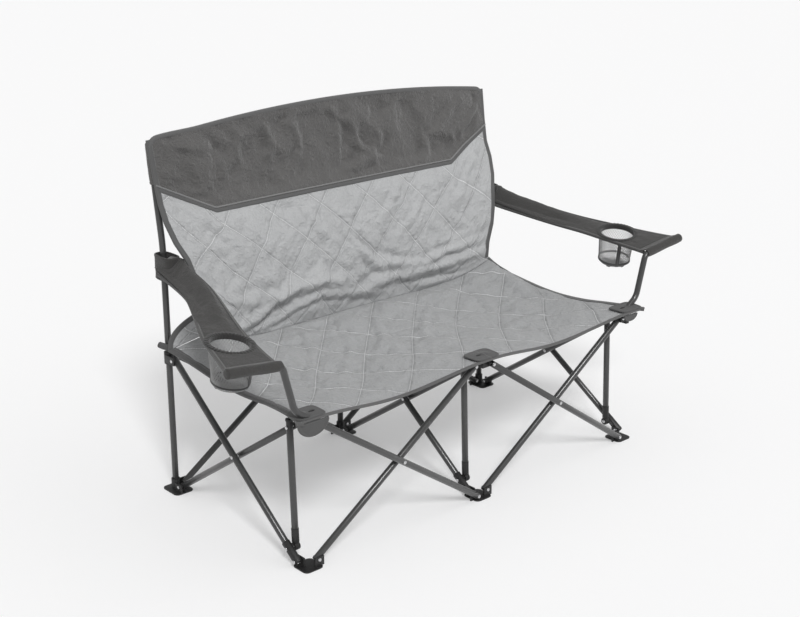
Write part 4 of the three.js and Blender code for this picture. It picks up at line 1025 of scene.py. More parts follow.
def seat_middle(i, j):
    u, v = 2 * i / columns - 1, seat_share(j)
    x, y, z = seat_point(u, v)
    inside = smooth(min(v, 1 - v) / 0.08) * smooth((1 - abs(u)) / 0.06) * (1 - by_hub(i, j))
    crushed = crumples((x, y), 82, 3.6, 8.7) + crumples((x, y), 36, 1.7, 2.2)
    lift = drift((x, y), 95, 3.5, 3.1) + crushed + 1.6 * seat_creases[j, i]
    return at(x, y, z + inside * lift - 0.8 * by_hub(i, j))


def seat_half(i, j):
    rim = min(i, columns - i, j, seat_rows - j)
    return (1.9 + 3.4 * quilt_swell(i, j, fine) * smooth(rim / 4) * (1 - by_hub(i, j))) / 1000


def on_pattern(i, j):
    """The place of a grid point on the flat cloth, in metres."""
    return i * step / fine / 1000, j * step / fine / 1000


seat = pad("seat_quilt", seat_middle, seat_half, columns, seat_rows, on_pattern, seat_cloth)
print("seat grid", len(seat.data.vertices), "points")

# %% [markdown]
# The stitches and the rim are held and the rest is blown up.


# %% Seat simulation
def on_grid(wide, long, value):
    """value(i, j, rim) at each point of a grid, where rim counts the steps to its nearest edge."""
    return [value(i, j, min(i, wide - i, j, long - j)) for j in range(long + 1) for i in range(wide + 1)]


def held_points(wide, long):
    return 2 * on_grid(wide, long, lambda i, j, rim: on_stitch(i, j, fine) or rim == 0)


def looseness(wide, long, also=lambda i, j: 1.0):
    return on_grid(wide, long, lambda i, j, rim: smooth((rim - 1.5) / 4) * also(i, j))


loose = looseness(columns, seat_rows, lambda i, j: 1 - by_hub(i, j))
moved = blown(seat, held_points(columns, seat_rows), loose, 0.0055, 4.0, 0.035)
print("seat moved by", round(moved, 2), "mm")
rounder(seat)
print("seat has", len(seat.data.vertices), "points; mean hollow", round(mark_painted_fold_shade(seat), 3))

# %% [markdown]
# The seat folds in half as the chair closes, so it is cut in two along the row where the CAD solids
# meet. Both halves keep the shading of the whole cloth, so that the cut doesn't show at rest.


# %% Seat halves
def halves(obj, row, names):
    whole = np.empty(len(obj.data.vertices) * 3, np.float32)
    obj.data.vertex_normals.foreach_get("vector", whole)
    obj.data.attributes.new("whole_normal", "FLOAT_VECTOR", "POINT").data.foreach_set("vector", whole)
    made = []
    for name, keep_low in zip(names, (True, False)):
        mesh = obj.data.copy()
        shape = bmesh.new()
        shape.from_mesh(mesh)
        rows = shape.verts.layers.float["row"]
        gone = [f for f in shape.faces if (sum(v[rows] for v in f.verts) / len(f.verts) < row) != keep_low]
        bmesh.ops.delete(shape, geom=gone, context="FACES")
        shape.to_mesh(mesh)
        shape.free()
        kept = np.empty(len(mesh.vertices) * 3, np.float32)
        mesh.attributes["whole_normal"].data.foreach_get("vector", kept)
        mesh.normals_split_custom_set_from_vertices(kept.reshape(-1, 3).tolist())
        for extra in ("whole_normal", "row"):
            mesh.attributes.remove(mesh.attributes[extra])
        mesh.name = name
        half = bpy.data.objects.new(name, mesh)
        scene.collection.objects.link(half)
        made.append(half)
    bpy.data.objects.remove(obj)
    return made


def crumple(obj):
    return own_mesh(obj)


seat_front, seat_rear_half = halves(seat, 6 * fine, ("seat_quilt_front", "seat_quilt_rear"))
for half, node in ((seat_front, "seat_front"), (seat_rear_half, "seat_rear")):
    fit_out(half, node, "seat_fabric", node)
    crumple(half)
print("seat halves", len(seat_front.data.vertices), len(seat_rear_half.data.vertices))

# %% [markdown]
# ## Bound edges
# Raw edges of quilting are closed by a folded tape about 20 mm wide. It is a flat loop around the
# edge: the section is a slim rounded bar, carried along the edge and turned with the cloth.


# %% Tape along an edge
def edging(name, edge, inner, width, thick, finish, over=1.5):
    """A folded tape around an edge, from points on the edge and points further in on the cloth."""
    upper = ((0, 0.0), (0.25, 0.75), (1.0, 1.0), (width * 0.4, 1.06), (width * 0.78, 1.0),
             (width - 0.4, 0.92), (width, 0.7))
    outline = [*upper, *((a, -b) for a, b in upper[:0:-1])]
    rings = []
    count = len(edge)
    for k in range(count):
        way = (edge[min(k + 1, count - 1)] - edge[max(k - 1, 0)]).normalized()
        inward = inner[k] - edge[k]
        inward = (inward - way * inward.dot(way)).normalized()
        up = way.cross(inward)
        start = edge[k] - inward * (over / 1000)
        rings.append([start + inward * (a / 1000) + up * (b * thick / 2 / 1000) for a, b in outline])
    return Shape().loft(rings, across=[a / 1000 for a, _ in outline]).finish(name, finish, angle=60)


def fabric_trim(obj, body):
    """Edges and trims go with the body that they are sewn to."""
    return fit_out(obj, body, "trim_fabric")


def seat_at(u, v):
    return at(*seat_point(u, v))


steps_front = [k / 160 * 2 - 1 for k in range(161)]
front_hem = edging("seat_front_hem", [seat_at(u, 0) for u in steps_front], [seat_at(u, 0.06) for u in steps_front],
                   6.5, 6.6, taped("seat_hem_tape", 88, 0, 0.0085, 132), over=2.0)
crumple(fabric_trim(front_hem, "seat_front"))
for side, label in ((-1, "left"), (1, "right")):
    for body, start, stop in (("seat_front", 0.0, crease_share), ("seat_rear", crease_share, 1.0)):
        shares = [mix(start, stop, k / 40) for k in range(41)]
        tape = edging(f"{body}_side_{label}", [seat_at(side, v) for v in shares],
                      [seat_at(side * 0.96, v) for v in shares], 18, 7.4, dark_tape, over=2.0)
        crumple(fabric_trim(tape, body))
ridge_corners = ((0.80, 1.0), (0.83, 0.975), (0.87, 0.935), (0.91, 0.90), (0.95, 0.872), (0.985, 0.862))
ridge = [tuple(mix(a, b, k / 6) for a, b in zip(start, stop))
         for start, stop in zip(ridge_corners, ridge_corners[1:]) for k in range(6)] + [ridge_corners[-1]]
ridge_line = [seat_at(min(u + 0.004, 1), v) + z_axis * 0.0064 * smooth((v - 0.79) / 0.08) for v, u in ridge]
ridge_in = [seat_at(u - 0.04, v) + z_axis * 0.005 * smooth((v - 0.79) / 0.08) for v, u in ridge]
ridge_tape = edging("seat_ridge_tape_right", ridge_line, ridge_in, 8, 6.0, dark_tape, over=1.0)
crumple(fabric_trim(ridge_tape, "seat_rear"))
print("seat edges bound")

# %% [markdown]
# ## Back
# The back panel hangs from a sleeve of dark cloth on the three uprights and is only held by its
# corners below. It bulges backwards between them, and its lower half falls in long soft folds that
# run in from the corners of the seat, where all the load goes.

# %% Back surface
band_low, band_flat, back_drop, back_bulge = 706.01, 395, 37, 34
edge_in, edge_forward = 76, 102
edge_outline = ((0, -0.87, -0.91), (0.12, -1, -0.99), (0.2, -0.97, -1), (0.29, -0.61, -0.88), (0.37, -0.42, -0.78),
                (0.46, -0.28, -0.65), (0.54, -0.05, -0.46), (0.63, 0.08, -0.24), (0.71, 0.09, -0.04), (0.83, 0.12, 0.09),
                (1, 0.17, 0.24))
edge_shares, edge_x, edge_y = np.array(edge_outline).T


def back_edge(share):
    """Where the back's side edge lies at a share of its height."""
    x, y = (float(np.interp(share, edge_shares, own)) for own in (edge_x, edge_y))
    return bay + edge_in * x, rear_line + edge_forward * y


def back_point(s, z):
    share = (z - seat_height) / (back_top - back_drop - seat_height)
    x, y = back_edge(share)
    return s * x, y + (1 - s * s) * mix(back_bulge, 0, clamp(share) ** 0.7), z


def back_upper(x):
    corner = clamp((abs(x) - 526) / 25)
    raised = 7 * smooth((-x - 400) / 130)
    return back_top - back_drop * (x / bay) ** 2 + raised - 25 * (1 - math.sqrt(1 - corner * corner * 0.94))


def back_lower(x):
    return seat_height + 54 * min(abs(x) / wing, 1) ** 5 + 5.7


def band_line(x):
    return band_low + 72 * max(abs(x) - band_flat, 0) / (bay - band_flat)


def true_x(s, z):
    return back_point(s, z)[0]


def back_height(s, t):
    """The height at share t of the quilted part, from the seat's top face to the band."""
    z = mix(seat_height, band_low, t)
    for _ in range(4):
        x = true_x(s, z)
        z = mix(back_lower(x) - 4.6, band_line(x), t)
    return z


print("back edge at the arms", [round(c) for c in back_edge(0.37)])

# %% [markdown]
# The creases of the back run in from its two lower corners and fan out under the arms' height. In
# the right half they cross in front of the seat's crease in four or five long parallel folds.

# %% Creases of the back
back_rows = 9 * fine
back_lines = (
    (((228, 331), (252, 320), (274, 300), (296, 286), (326, 279), (356, 284)), 19, 15),
    (((252, 331), (276, 321), (298, 304), (322, 293), (352, 291), (392, 290)), 12, 9),
    (((212, 294), (236, 301), (262, 301), (288, 287)), 16, 7),
    (((498, 249), (472, 254), (440, 265), (406, 272), (376, 281), (350, 297)), 16, 14),
    (((497, 261), (468, 271), (438, 281), (404, 287)), 11, 9),
    (((494, 233), (470, 238), (446, 249), (424, 260), (400, 264), (374, 260), (350, 246)), 13, 12),
    (((487, 222), (470, 232), (452, 240), (430, 240)), 14, 7),
    (((344, 232), (358, 248), (372, 262), (390, 270)), 10, 7),
    (((400, 176), (393, 196), (384, 214)), 11, 6), (((472, 158), (463, 184), (452, 206)), 13, 6),
    (((424, 194), (410, 216), (396, 234)), 11, 6), (((300, 203), (318, 226), (334, 242)), 13, 5),
    (((208, 224), (232, 240), (250, 264)), 15, 5), (((256, 208), (270, 232), (262, 258)), 13, 4),
    (((180, 206), (204, 220), (232, 226)), 12, 4), (((352, 190), (362, 212), (356, 236)), 12, 4))
def back_plain(i, j):
    s = 2 * i / columns - 1
    return back_point(s, back_height(s, j / back_rows))


back_creases = crease_map(lambda i, j: at(*back_plain(i, j)), columns, back_rows, step / fine, step / fine, back_lines)


def back_middle(i, j):
    s, t = 2 * i / columns - 1, j / back_rows
    x, y, z = back_plain(i, j)
    free = smooth((1 - abs(s)) / 0.08) * smooth(t / 0.05) * smooth((1 - t) / 0.10)
    crushed = crumples((x, z), 92, 4.6, 5.2) + crumples((x, z), 38, 2.2, 9.4)
    ripple = drift((x, z), 130, 6.0, 1.7) + crushed + 1.25 * back_creases[j, i]
    return at(x, y - free * ripple, z)


def back_half(i, j):
    rim = min(i, columns - i, j, back_rows - j)
    return (1.9 + 2.2 * quilt_swell(i, j, fine) * smooth(rim / 4)) / 1000


back = pad("back_quilt", back_middle, back_half, columns, back_rows, on_pattern, back_cloth)
moved = blown(back, held_points(columns, back_rows), looseness(columns, back_rows), 0.005, 3.0, 0.04)
print("back moved by", round(moved, 2), "mm")
rounder(back)
mark_painted_fold_shade(back)
back.data.attributes.remove(back.data.attributes["row"])
fit_out(back, "rear_center_leg", "back_fabric", "back_panel")
crumple(back)
print("back has", len(back.data.vertices), "points")

# %% [markdown]
# Beside each lower corner the same cloth goes on as a small gusset. It fills the corner between the
# back's side, the seat's rear edge and the sliding collar, and its outer edge is a hollow curve.

# %% Gussets
gusset_top = 504
gusset_outer = ((548, 531, 378), (547, 529, 402), (538, 519, 427), (522, 501, 452), (499, 476, 478), (477, 449, 503))


def along_points(points, share):
    """A point on a smooth curve through points."""
    place = clamp(share) * (len(points) - 1)
    k = min(int(place), len(points) - 2)
    before, after = points[max(k - 1, 0)], points[min(k + 2, len(points) - 1)]
    t = place - k
    rows = zip(before, points[k], points[k + 1], after)
    return tuple(0.5 * (2 * b + (c - a) * t + (2 * a - 5 * b + 4 * c - d) * t * t + (3 * b - a - 3 * c + d) * t**3)
                 for a, b, c, d in rows)


def gusset_point(side, p, q):
    """p from the back's side edge to the outer edge, q from the seat up."""
    rear_x, rear_y, rear_z = seat_rear(0.86 + 0.14 * p)
    inner = back_point(1, mix(back_lower(wing) - 3, gusset_top, q))
    outer = along_points(gusset_outer, q)
    flat = [mix(a, b, p) for a, b in zip(inner, outer)]
    base = (rear_x, rear_y, rear_z + 1.5)
    straight = [mix(a, b, p) for a, b in zip(back_point(1, back_lower(wing) - 3), gusset_outer[0])]
    x, y, z = (f + (b - s) * (1 - q) ** 2 for f, b, s in zip(flat, base, straight))
    return side * x, y + 7 * math.sin(math.pi * p) * math.sin(math.pi * min(q * 1.1, 1)), z


for side, label in ((-1, "left"), (1, "right")):
    gusset = pad(f"back_gusset_{label}", lambda i, j: at(*gusset_point(side, (i if side > 0 else 16 - i) / 16, j / 20)),
                 lambda i, j: (1.9 + 1.2 * math.sin(math.pi * i / 16) * math.sin(math.pi * j / 20)) / 1000, 16, 20,
                 lambda i, j: (i * 0.0055 + 0.03, j * 0.006 + 0.05), back_cloth)
    gusset.data.attributes.remove(gusset.data.attributes["row"])
    fit_out(gusset, "rear_center_leg", "back_fabric")
    crumple(gusset)
    shares = [k / 40 for k in range(41 if side < 0 else 36)]
    tape = edging(f"back_gusset_tape_{label}", [at(*gusset_point(side, 1, q)) for q in shares],
                  [at(*gusset_point(side, 0.7, q)) for q in shares], 13, 7.0, dark_tape)
    crumple(fabric_trim(tape, "rear_center_leg"))
print("gussets reach", gusset_top, "mm")

# %% [markdown]
# ## Dark band
# Above the panel runs a deep band of plain dark cloth, two layers sewn into sleeves round the tops
# of the three uprights. It isn't quilted, so it crumples: the longer folds are read off the photograph,
# and noise and a little slack in the Cloth simulation give the small irregular dents between them.

# %% Band with its sleeves
band_columns, band_rows, band_height = 150, 26, 190


def upright_y(z):
    return rear_line + max(z - bend_height, 0) * math.tan(upright_lean)


def band_place(s, t):
    z = mix(band_low, back_top, t)
    for _ in range(4):
        x = true_x(s, z)
        z = mix(band_line(x), back_upper(x), t)
    return back_point(s, z)


band_lines = (
    (((262, 122), (272, 145), (266, 168)), 13, 9), (((325, 104), (336, 118), (348, 122), (360, 145)), 13, 10),
    (((420, 133), (427, 149), (417, 166)), 12, 9), (((348, 137), (371, 153), (343, 168)), 12, 8),
    (((457, 98), (442, 118), (430, 138)), 13, 10), (((475, 104), (465, 122), (455, 134)), 11, 9),
    (((378, 155), (352, 166), (338, 171)), 11, 8), (((200, 120), (222, 140), (240, 146)), 14, 8),
    (((172, 146), (190, 150), (206, 146)), 11, 7), (((296, 128), (300, 150), (290, 172)), 12, 7),
    (((398, 96), (390, 112), (376, 122)), 12, 7))
band_creases = crease_map(lambda i, j: at(*band_place(2 * i / band_columns - 1, j / band_rows)),
                          band_columns, band_rows, 2 * bay / band_columns, band_height / band_rows, band_lines)


def band_middle(i, j):
    s, t = 2 * i / band_columns - 1, j / band_rows
    x, y, z = band_place(s, t)
    free = smooth((1 - abs(s)) / 0.05) * smooth(min(t, 1 - t) / 0.16)
    crush = crumples((x, z), 98, 6.0, 12.3) + crumples((x, z * 0.8), 46, 3.2, 4.4)
    crush += drift((x, z), 150, 4, 2.0) + band_creases[j, i]
    from_sleeve = min(abs(x), abs(abs(x) - bay))
    crush = max(crush, mix(0.5, -9, smooth((from_sleeve - 14) / 26)))
    return at(x, y - 1.0 - free * crush, z)


band = pad("band_cloth", band_middle, lambda i, j: 0.0019, band_columns, band_rows,
           lambda i, j: (i * 2 * bay / band_columns / 1000, j * band_height / band_rows / 1000), dark_cloth)
rim_held = 2 * on_grid(band_columns, band_rows, lambda i, j, rim: rim == 0)
moved = blown(band, rim_held, looseness(band_columns, band_rows), 0.004, 0.6, 0.05, 8.0)
print("band moved by", round(moved, 2), "mm")
rounder(band)
mark_painted_fold_shade(band)
band.data.attributes.remove(band.data.attributes["row"])
fit_out(band, "rear_center_leg", "trim_fabric", "back_band")
crumple(band)
print("band has", len(band.data.vertices), "points")

# %% [markdown]
# Each upright goes up into a sewn sleeve on the band's rear. The sleeve is a slack tube of the same
# cloth with a hem at its mouth, and it leans with the upright.

# %% Sleeves on the uprights
sleeve_rings = ((0, 8.6), (0, 10.6), (0.02, 11.3), (0.05, 11.3), (0.06, 10.7), (0.2, 10.9), (0.35, 10.6), (0.5, 10.9),
                (0.65, 10.6), (0.8, 10.8), (0.93, 10.2), (1.0, 6.0))
sleeve_reach = {"left": 96, "center": 60, "right": 96}
for label, reach_down in sleeve_reach.items():
    x = sides[label][0]
    rings = []
    for k, (share, radius) in enumerate(sleeve_rings):
        z = mix(upright_height - reach_down, upright_height + 5, share)
        middle = at(x, upright_y(z), z)
        ring = []
        for turn in round_turns(28):
            wide, deep = radius * math.cos(turn) * (1 + 0.04 * math.sin(3 * turn + k)), radius * math.sin(turn)
            ring.append(middle + x_axis * (wide / 1000) + y_axis * (deep * (0.86 if deep < 0 else 1) / 1000))
        rings.append(ring)
    sleeve = Shape().loft(rings, ends=(False, True)).finish(f"band_sleeve_{label}", dark_cloth, angle=60)
    crumple(fabric_trim(sleeve, "rear_center_leg"))
print("three sleeves, bottoms at", [round(upright_height - reach_down) for reach_down in sleeve_reach.values()], "mm")

# %% [markdown]
# The band ends below in a dark tape with a cord sewn in just above it, and the whole back is bound
# at its top and down both sides.


# %% Piping and tapes of the back
def back_at(s, z, out=0.0):
    x, y, z = back_point(s, z)
    return at(x, y - out, z)


def band_at(s, t, up=0.0, out=0.0):
    return back_at(s, band_place(s, t)[2] + up, out)


spread = [k / 200 * 2 - 1 for k in range(201)]
lower_tape = edging("band_lower_tape", [band_at(s, 0, -6) for s in spread], [band_at(s, 0, 12) for s in spread],
                    10, 7.6, dark_tape, over=0.5)
piping = Shape()
line_at = [band_at(s, 0, 7, 3.6) for s in spread]
piping.loft([circle(p, side, up, 0.0021, 10) for p, (side, up) in zip(line_at, frames(line_at))])
piping = piping.finish("band_piping", taped("piping_cloth", 122, 0, 0.5, 120), angle=80)
top_tape = edging("back_top_tape", [band_at(s, 1) for s in spread], [band_at(s, 1, -15) for s in spread],
                  10.5, 7.2, taped("top_tape", 92, 0, 0.0112, 132))
pieces = [lower_tape, piping, top_tape]
for side, label in ((-1, "left"), (1, "right")):
    lowest = gusset_top - 4 if side < 0 else back_lower(wing) + 1
    levels = [mix(lowest, back_upper(side * bay) - 2, k / 90) for k in range(91)]
    pieces.append(edging(f"back_side_tape_{label}", [back_at(side, z) for z in levels],
                         [back_at(side * 0.95, z) for z in levels], 13, 7.2, dark_tape))
for piece in pieces:
    crumple(fabric_trim(piece, "rear_center_leg"))
print(len(pieces), "tapes on the back")

# %% [markdown]
# ## Armrests
# Each armrest is a padded strip of dark cloth. In front it is hemmed round the arm tube, it sags a
# little on its way back, and it narrows and rises into a loop that is sewn round the upright.

# %% Armrest surface
arm_rear_y, arm_rear_z, ring_place = rear_line - 58.7, seat_height + 214, 124


def rest_half(t):
    """Half the width of the strip, which narrows from the front to the rear."""
    return mix(69, 42, t**0.6)


def rest_frame(side):
    front = arm_corners(side)
    hem = (front[2] + front[3]) / 2
    return front, hem, front[2].y * 1000 - middle_shift + tube_radius + fit + 1.25


def rest_point(side, t, w):
    """A point on the middle of the cloth: t from front to rear, w from the inner to the outer edge."""
    front, hem, start_y = rest_frame(side)
    waist = 0.25 * math.exp(-(((t - 0.85) / 0.14) ** 2))
    half = rest_half(t) * (1 - waist)
    x = mix(abs(hem.x) * 1000, bay + 16, t) + (w - 0.5) * 2 * half
    rise = (front[3].z - front[2].z) * 1000
    sag = 5 * (2 * w - 1) ** 2 * math.sin(math.pi * t)
    z = mix(hem.z * 1000, arm_rear_z, t**1.1) + (w - 0.5) * rise * (1 - t) ** 2 - sag
    return side * x, mix(start_y, arm_rear_y, t), z


def rest_at(side, t, w):
    return at(*rest_point(side, t, w))


def ring_frame(side):
    t = ring_place / (arm_rear_y - front_layer(side))
    centre = rest_at(side, t, 0.5)
    along = (rest_at(side, t + 0.02, 0.5) - rest_at(side, t - 0.02, 0.5)).normalized()
    across = (rest_at(side, t, 0.6) - rest_at(side, t, 0.4)).normalized()
    normal = along.cross(across) * (-1 if side > 0 else 1)
    normal.normalize()
    if normal.z < 0:
        normal = -normal
    across = (across - normal * across.dot(normal)).normalized()
    return centre, across, normal.cross(across), normal


def wedge(t):
    """Half the height of the strip: thin in front, and as deep as the loop at the rear."""
    return 2.3 + 27 * clamp((t - 0.3) / 0.7) ** 1.25


def strip_place(side, t, w, level=0):
    """The strip as a sleeve that flattens towards the front: level 1 is its top and -1 its underside.
    It is twisted a little, so that the edge on the photograph's left hangs lower on both armrests."""
    if level > 0:
        hanging = w if side > 0 else 1 - w
        level = mix(level, mix(-0.5, level, smooth(hanging / 0.7)), smooth((t - 0.25) / 0.3))
    _, y, z = rest_point(side, t, w)
    turn = (w - 0.5) * 2
    plain = side * (mix(abs(rest_frame(side)[1].x) * 1000, bay + 16, t) + turn * rest_half(t))
    beyond_side = max(abs(turn) - 0.5, 0) / 0.5
    end_x = bay + 21.4 * clamp(turn / 0.5, -1, 1)
    end_y = arm_rear_y + 5.5 - 3 * (1 - min(abs(turn) / 0.5, 1)) + beyond_side * (60 if turn > 0 else 46)
    sweep = clamp((t - 0.3) / 0.7) ** 1.6
    pinch = 1 - 0.75 * beyond_side * (1 - sweep)
    own_y = mix(y, end_y, clamp((t - 0.72) / 0.28) ** 2)
    return at(mix(plain, side * end_x, sweep), own_y, z + level * wedge(t) * pinch)


print("ring centres", [[round(c, 4) for c in ring_frame(s)[0]] for s in (-1, 1)])

# %% [markdown]
# The strip is a closed sheet of a few thousand points. Its front end curls right round the tube, the
# hole for the cup is cut with a cylinder before the edges are bound, and the weave follows its length.

# %% Armrests
rest_cloth = woven("armrest_cloth", 53, 1.0, contrast=7, sheen=0.2, rumpled=0.004)
rest_tape = taped("armrest_tape", 66, 0.5, 0.0068, 120)
rest_wide, rest_long = 36, 110


def wrapped(tube_from, axis_way, place, share, ripple):
    """A point of the hem, where the cloth goes round the arm tube: share goes once round."""
    turn = math.radians(mix(-262, 62, share))
    core = tube_from + axis_way * (place - tube_from).dot(axis_way)
    radius = (tube_radius + fit + 1.2 + 0.5 * ripple) / 1000
    return core + Vector((0, math.sin(turn), math.cos(turn))) * radius


def arm_rest(side, label):
    tube_from, tube_to = rest_frame(side)[0][2:]
    axis_way = (tube_to - tube_from).normalized()
    rings, own_shares, half_thick, wrap = [], [], 2.3, 16
    steps_across = [m / rest_wide for m in range(rest_wide + 1)]
    for k in range(wrap + rest_long + 1):
        t = (k - wrap) / rest_long
        own_t = mix(0.035, 1, t) if k >= wrap else 0
        row = []
        for w in steps_across:
            if k < wrap:
                row.append(wrapped(tube_from, axis_way, rest_at(side, 0.0, w), k / wrap, math.sin(w * 9 + k)))
            else:
                x, y, _ = rest_point(side, own_t, w)
                free = smooth(min(w, 1 - w) / 0.2) * smooth(min(t, 1 - t) / 0.1)
                lift = (drift((x, y), 60, 1.6, 3.3) + crumples((x, y), 38, 1.1, 6.1)) * free
                row.append(strip_place(side, own_t, w) + z_axis * (lift / 1000))
        rings.append(row)
        own_shares.append(own_t)
    grid = np.array([[tuple(p) for p in row] for row in rings])
    normal = np.cross(np.gradient(grid, axis=1), np.gradient(grid, axis=0)) * (1 if side > 0 else -1)
    normal /= np.linalg.norm(normal, axis=2, keepdims=True)
    puff = [half_thick * (0.55 + 0.45 * smooth(min(m, rest_wide - m) / 3)) / 1000 for m in range(rest_wide + 1)]
    sections = []
    for j, own_t in enumerate(own_shares):
        top = [Vector(grid[j, m] + normal[j, m] * puff[m]) for m in range(rest_wide + 1)]
        bottom = [Vector(grid[j, m] - normal[j, m] * puff[m]) for m in range(rest_wide, -1, -1)]
        if own_t > 0.3:
            deep = [strip_place(side, own_t, w, 1) - strip_place(side, own_t, w) for w in steps_across]
            deep = [d - z_axis * min(half_thick / 1000, d.z) for d in deep]
            top = [p + d for p, d in zip(top, deep)]
            bottom = [p - d for p, d in zip(bottom, deep[::-1])]
        sections.append((top + bottom)[::side])
    own = [2 * rest_half(0) / 1000 * w for w in steps_across]
    across_both = (own + own[::-1])[::side]
    hem_part = Shape().loft(sections[: wrap + 1], across=across_both)
    hem_part = hem_part.finish(f"armrest_{label}_hem", rest_cloth, angle=70)
    fit_out(hem_part, f"arm_{label}", "trim_fabric")
    rest = Shape().loft(sections[wrap:], across=across_both).finish(f"armrest_{label}_cloth", rest_cloth, angle=70)
    centre, ring_side, ring_up, ring_normal = ring_frame(side)
    punch_ends = [circle(centre + ring_normal * h, ring_side, ring_up, 0.0488, 64) for h in (-0.03, 0.03)]
    punch = Shape().loft(punch_ends).finish("punch", dark_cloth)
    cut = rest.modifiers.new("hole", "BOOLEAN")
    cut.operation, cut.object, cut.solver = "DIFFERENCE", punch, "EXACT"
    baked(rest)
    bpy.data.objects.remove(punch)
    fit_out(rest, f"arm_{label}", "trim_fabric")
    return rest


rest_anchor = (0, -0.288, rest_frame(1)[1].z)


def gathered(obj):
    """Gives the piece a mesh of its own. The armrest's cloth gathers up behind its hem as the chair closes, which this
    doesn't model.
    """
    return crumple(obj)


for side, label in ((-1, "left"), (1, "right")):
    rest = arm_rest(side, label)
    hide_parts(f"armrest_{label}")
    gathered(rest)
    for w, inner, edge_name in ((0.0, 0.1, "inner"), (1.0, 0.9, "outer")):
        shares = [mix(0.0, 0.97, k / 90) for k in range(91)]
        edge, inside = ([strip_place(side, t, place, 0.9 * smooth((t - 0.3) / 0.1)) for t in shares]
                        for place in (w, inner))
        tape = edging(f"armrest_{label}_{edge_name}_tape", edge, inside, 9, 6.4, rest_tape)
        gathered(fabric_trim(tape, f"arm_{label}"))
    tube_from, tube_to = arm_corners(side)[2:]
    way = (tube_to - tube_from).normalized()
    end_side = way.orthogonal().normalized()
    own = ((-12, 9.2), (-12, 11.4), (-2, 11.8), (0.6, 11.2), (1.8, 8.8), (2.4, 5.0), (2.6, 1.0))
    end_rings = [circle(tube_to + way * (d / 1000), end_side, way.cross(end_side), r / 1000, 32) for d, r in own]
    end = Shape().loft(end_rings, ends=(False, True)).finish(f"armrest_{label}_hem_end", rest_cloth, angle=60)
    fabric_trim(end, f"arm_{label}")
print("armrests have", len(rest.data.vertices), "points each")

# %% [markdown]
# The loop round the upright is a wide band of the same cloth, hemmed above and below, and the end of
# the strip is sewn to its front.

# %% Loops round the uprights
loop_levels = ((-28, 0.0), (-27.2, 0.7), (-24.5, 1.0), (-22, 0.6), (-12, 0.0), (0, 0.3), (12, 0.0), (25, 0.6),
               (28.5, 1.4), (31.5, 1.2), (32.5, 0.0))
for side, label in ((-1, "left"), (1, "right")):
    middle = at(side * bay, rear_line, arm_rear_z)
    rings = []
    front_y, back_y = arm_rear_y - rear_line + 8, 21
    for h, grow in loop_levels:
        outline = []
        for turn in round_turns(48):
            half_width = 20.0 + grow + 0.7 * math.sin(3 * turn + h * 0.12)
            span = (back_y - front_y) / 2 + grow
            ex = math.copysign(abs(math.cos(turn)) ** 0.75, math.cos(turn)) * half_width
            ey = math.copysign(abs(math.sin(turn)) ** 0.6, math.sin(turn)) * span
            outline.append(middle + Vector((ex, (front_y + back_y) / 2 + ey, h)) / 1000)
        rings.append(outline)
    inner = []
    for ring in rings[::-1]:
        heart = sum(ring, Vector()) / len(ring)
        inner.append([heart + (p - heart) * Vector((0.84, 0.92, 1)) for p in ring])
    loop = Shape().loft(rings + inner + rings[:1], ends=(False, False))
    gathered(fabric_trim(loop.finish(f"armrest_{label}_loop", rest_cloth, angle=70), f"arm_{label}"))
print("loops sit at", round(arm_rear_z), "mm")

# %% [markdown]
# ## Cup rings and nets
# The ring is padded: a plastic hoop in a stitched cloth cover, which gathers into small ridges as
# it goes round. It is a round section swept in a circle, with ridges that grow and shrink.

# %% Cup rings
ring_cloth = woven("ring_cover", 38, 0.5, contrast=12, sheen=0.3, rumpled=0.004)
ring_section = ((44.2, -9.4), (44.2, 0.0), (44.6, 1.6), (46.4, 3.0), (49.2, 3.8), (52.0, 3.8), (54.6, 3.2), (56.9, 2.2),
                (57.8, 1.2), (57.2, 0.3), (55.2, 0.0), (49.3, -0.1), (47.3, -0.6), (46.6, -9.4))
for side, label in ((-1, "left"), (1, "right")):
    centre, across, away, normal = ring_frame(side)
    rings = []
    for turn in round_turns(240):
        outward = across * math.cos(turn) + away * math.sin(turn)
        ridge = 0.6 * math.sin(40 * turn + 0.8 * math.sin(5 * turn))
        ring = []
        for m, (radius, h) in enumerate(ring_section):
            top = 1 if 2 <= m <= 7 else 0
            inner = 0.5 * ridge if m < 2 else 0
            ring.append(centre + (outward * (radius + inner) + normal * (h + top * ridge)) / 1000)
        rings.append(ring)
    ring = Shape().loft(rings + rings[:1], ends=(False, False)).finish(f"cup_ring_{label}_cover", ring_cloth, angle=60)
    fit_out(ring, f"arm_{label}", "trim_fabric", f"cup_ring_{label}")
    gathered(ring)
print("rings are", 2 * max(radius for radius, _ in ring_section), "mm wide")

# %% [markdown]
# The cup hangs from the ring as a bag of knotless mesh. Two families of fine threads wind down its
# wall in opposite directions and go on across its floor, so light falls through it.
# A dark tape covers the seam, and another runs round the foot of the wall.

# %% Cup nets
net_tape = taped("net_tape", 66, 0, 0.004, 92)
net_radius, net_taper, net_start, net_wall, net_corner = 47.4, 6 / 82, 7.5, 68.0, 14
slack_drop, slack_shift = 14, Vector((0.010, -0.004, 0))
threads = 42


def net_profile(share):
    """Radius and height below the rim in millimetres, down the wall, round the corner and in."""
    corner, floor_reach = net_corner * math.pi / 2, 27.0
    along = share * (net_wall + corner + floor_reach)
    if along < net_wall:
        return net_radius - net_taper * along, along + net_start
    along -= net_wall
    inside = net_radius - net_taper * net_wall - net_corner
    if along < corner:
        turn = along / net_corner
        return inside + net_corner * math.cos(turn), net_wall + net_start + net_corner * math.sin(turn)
    return inside - (along - corner), net_wall + net_start + net_corner


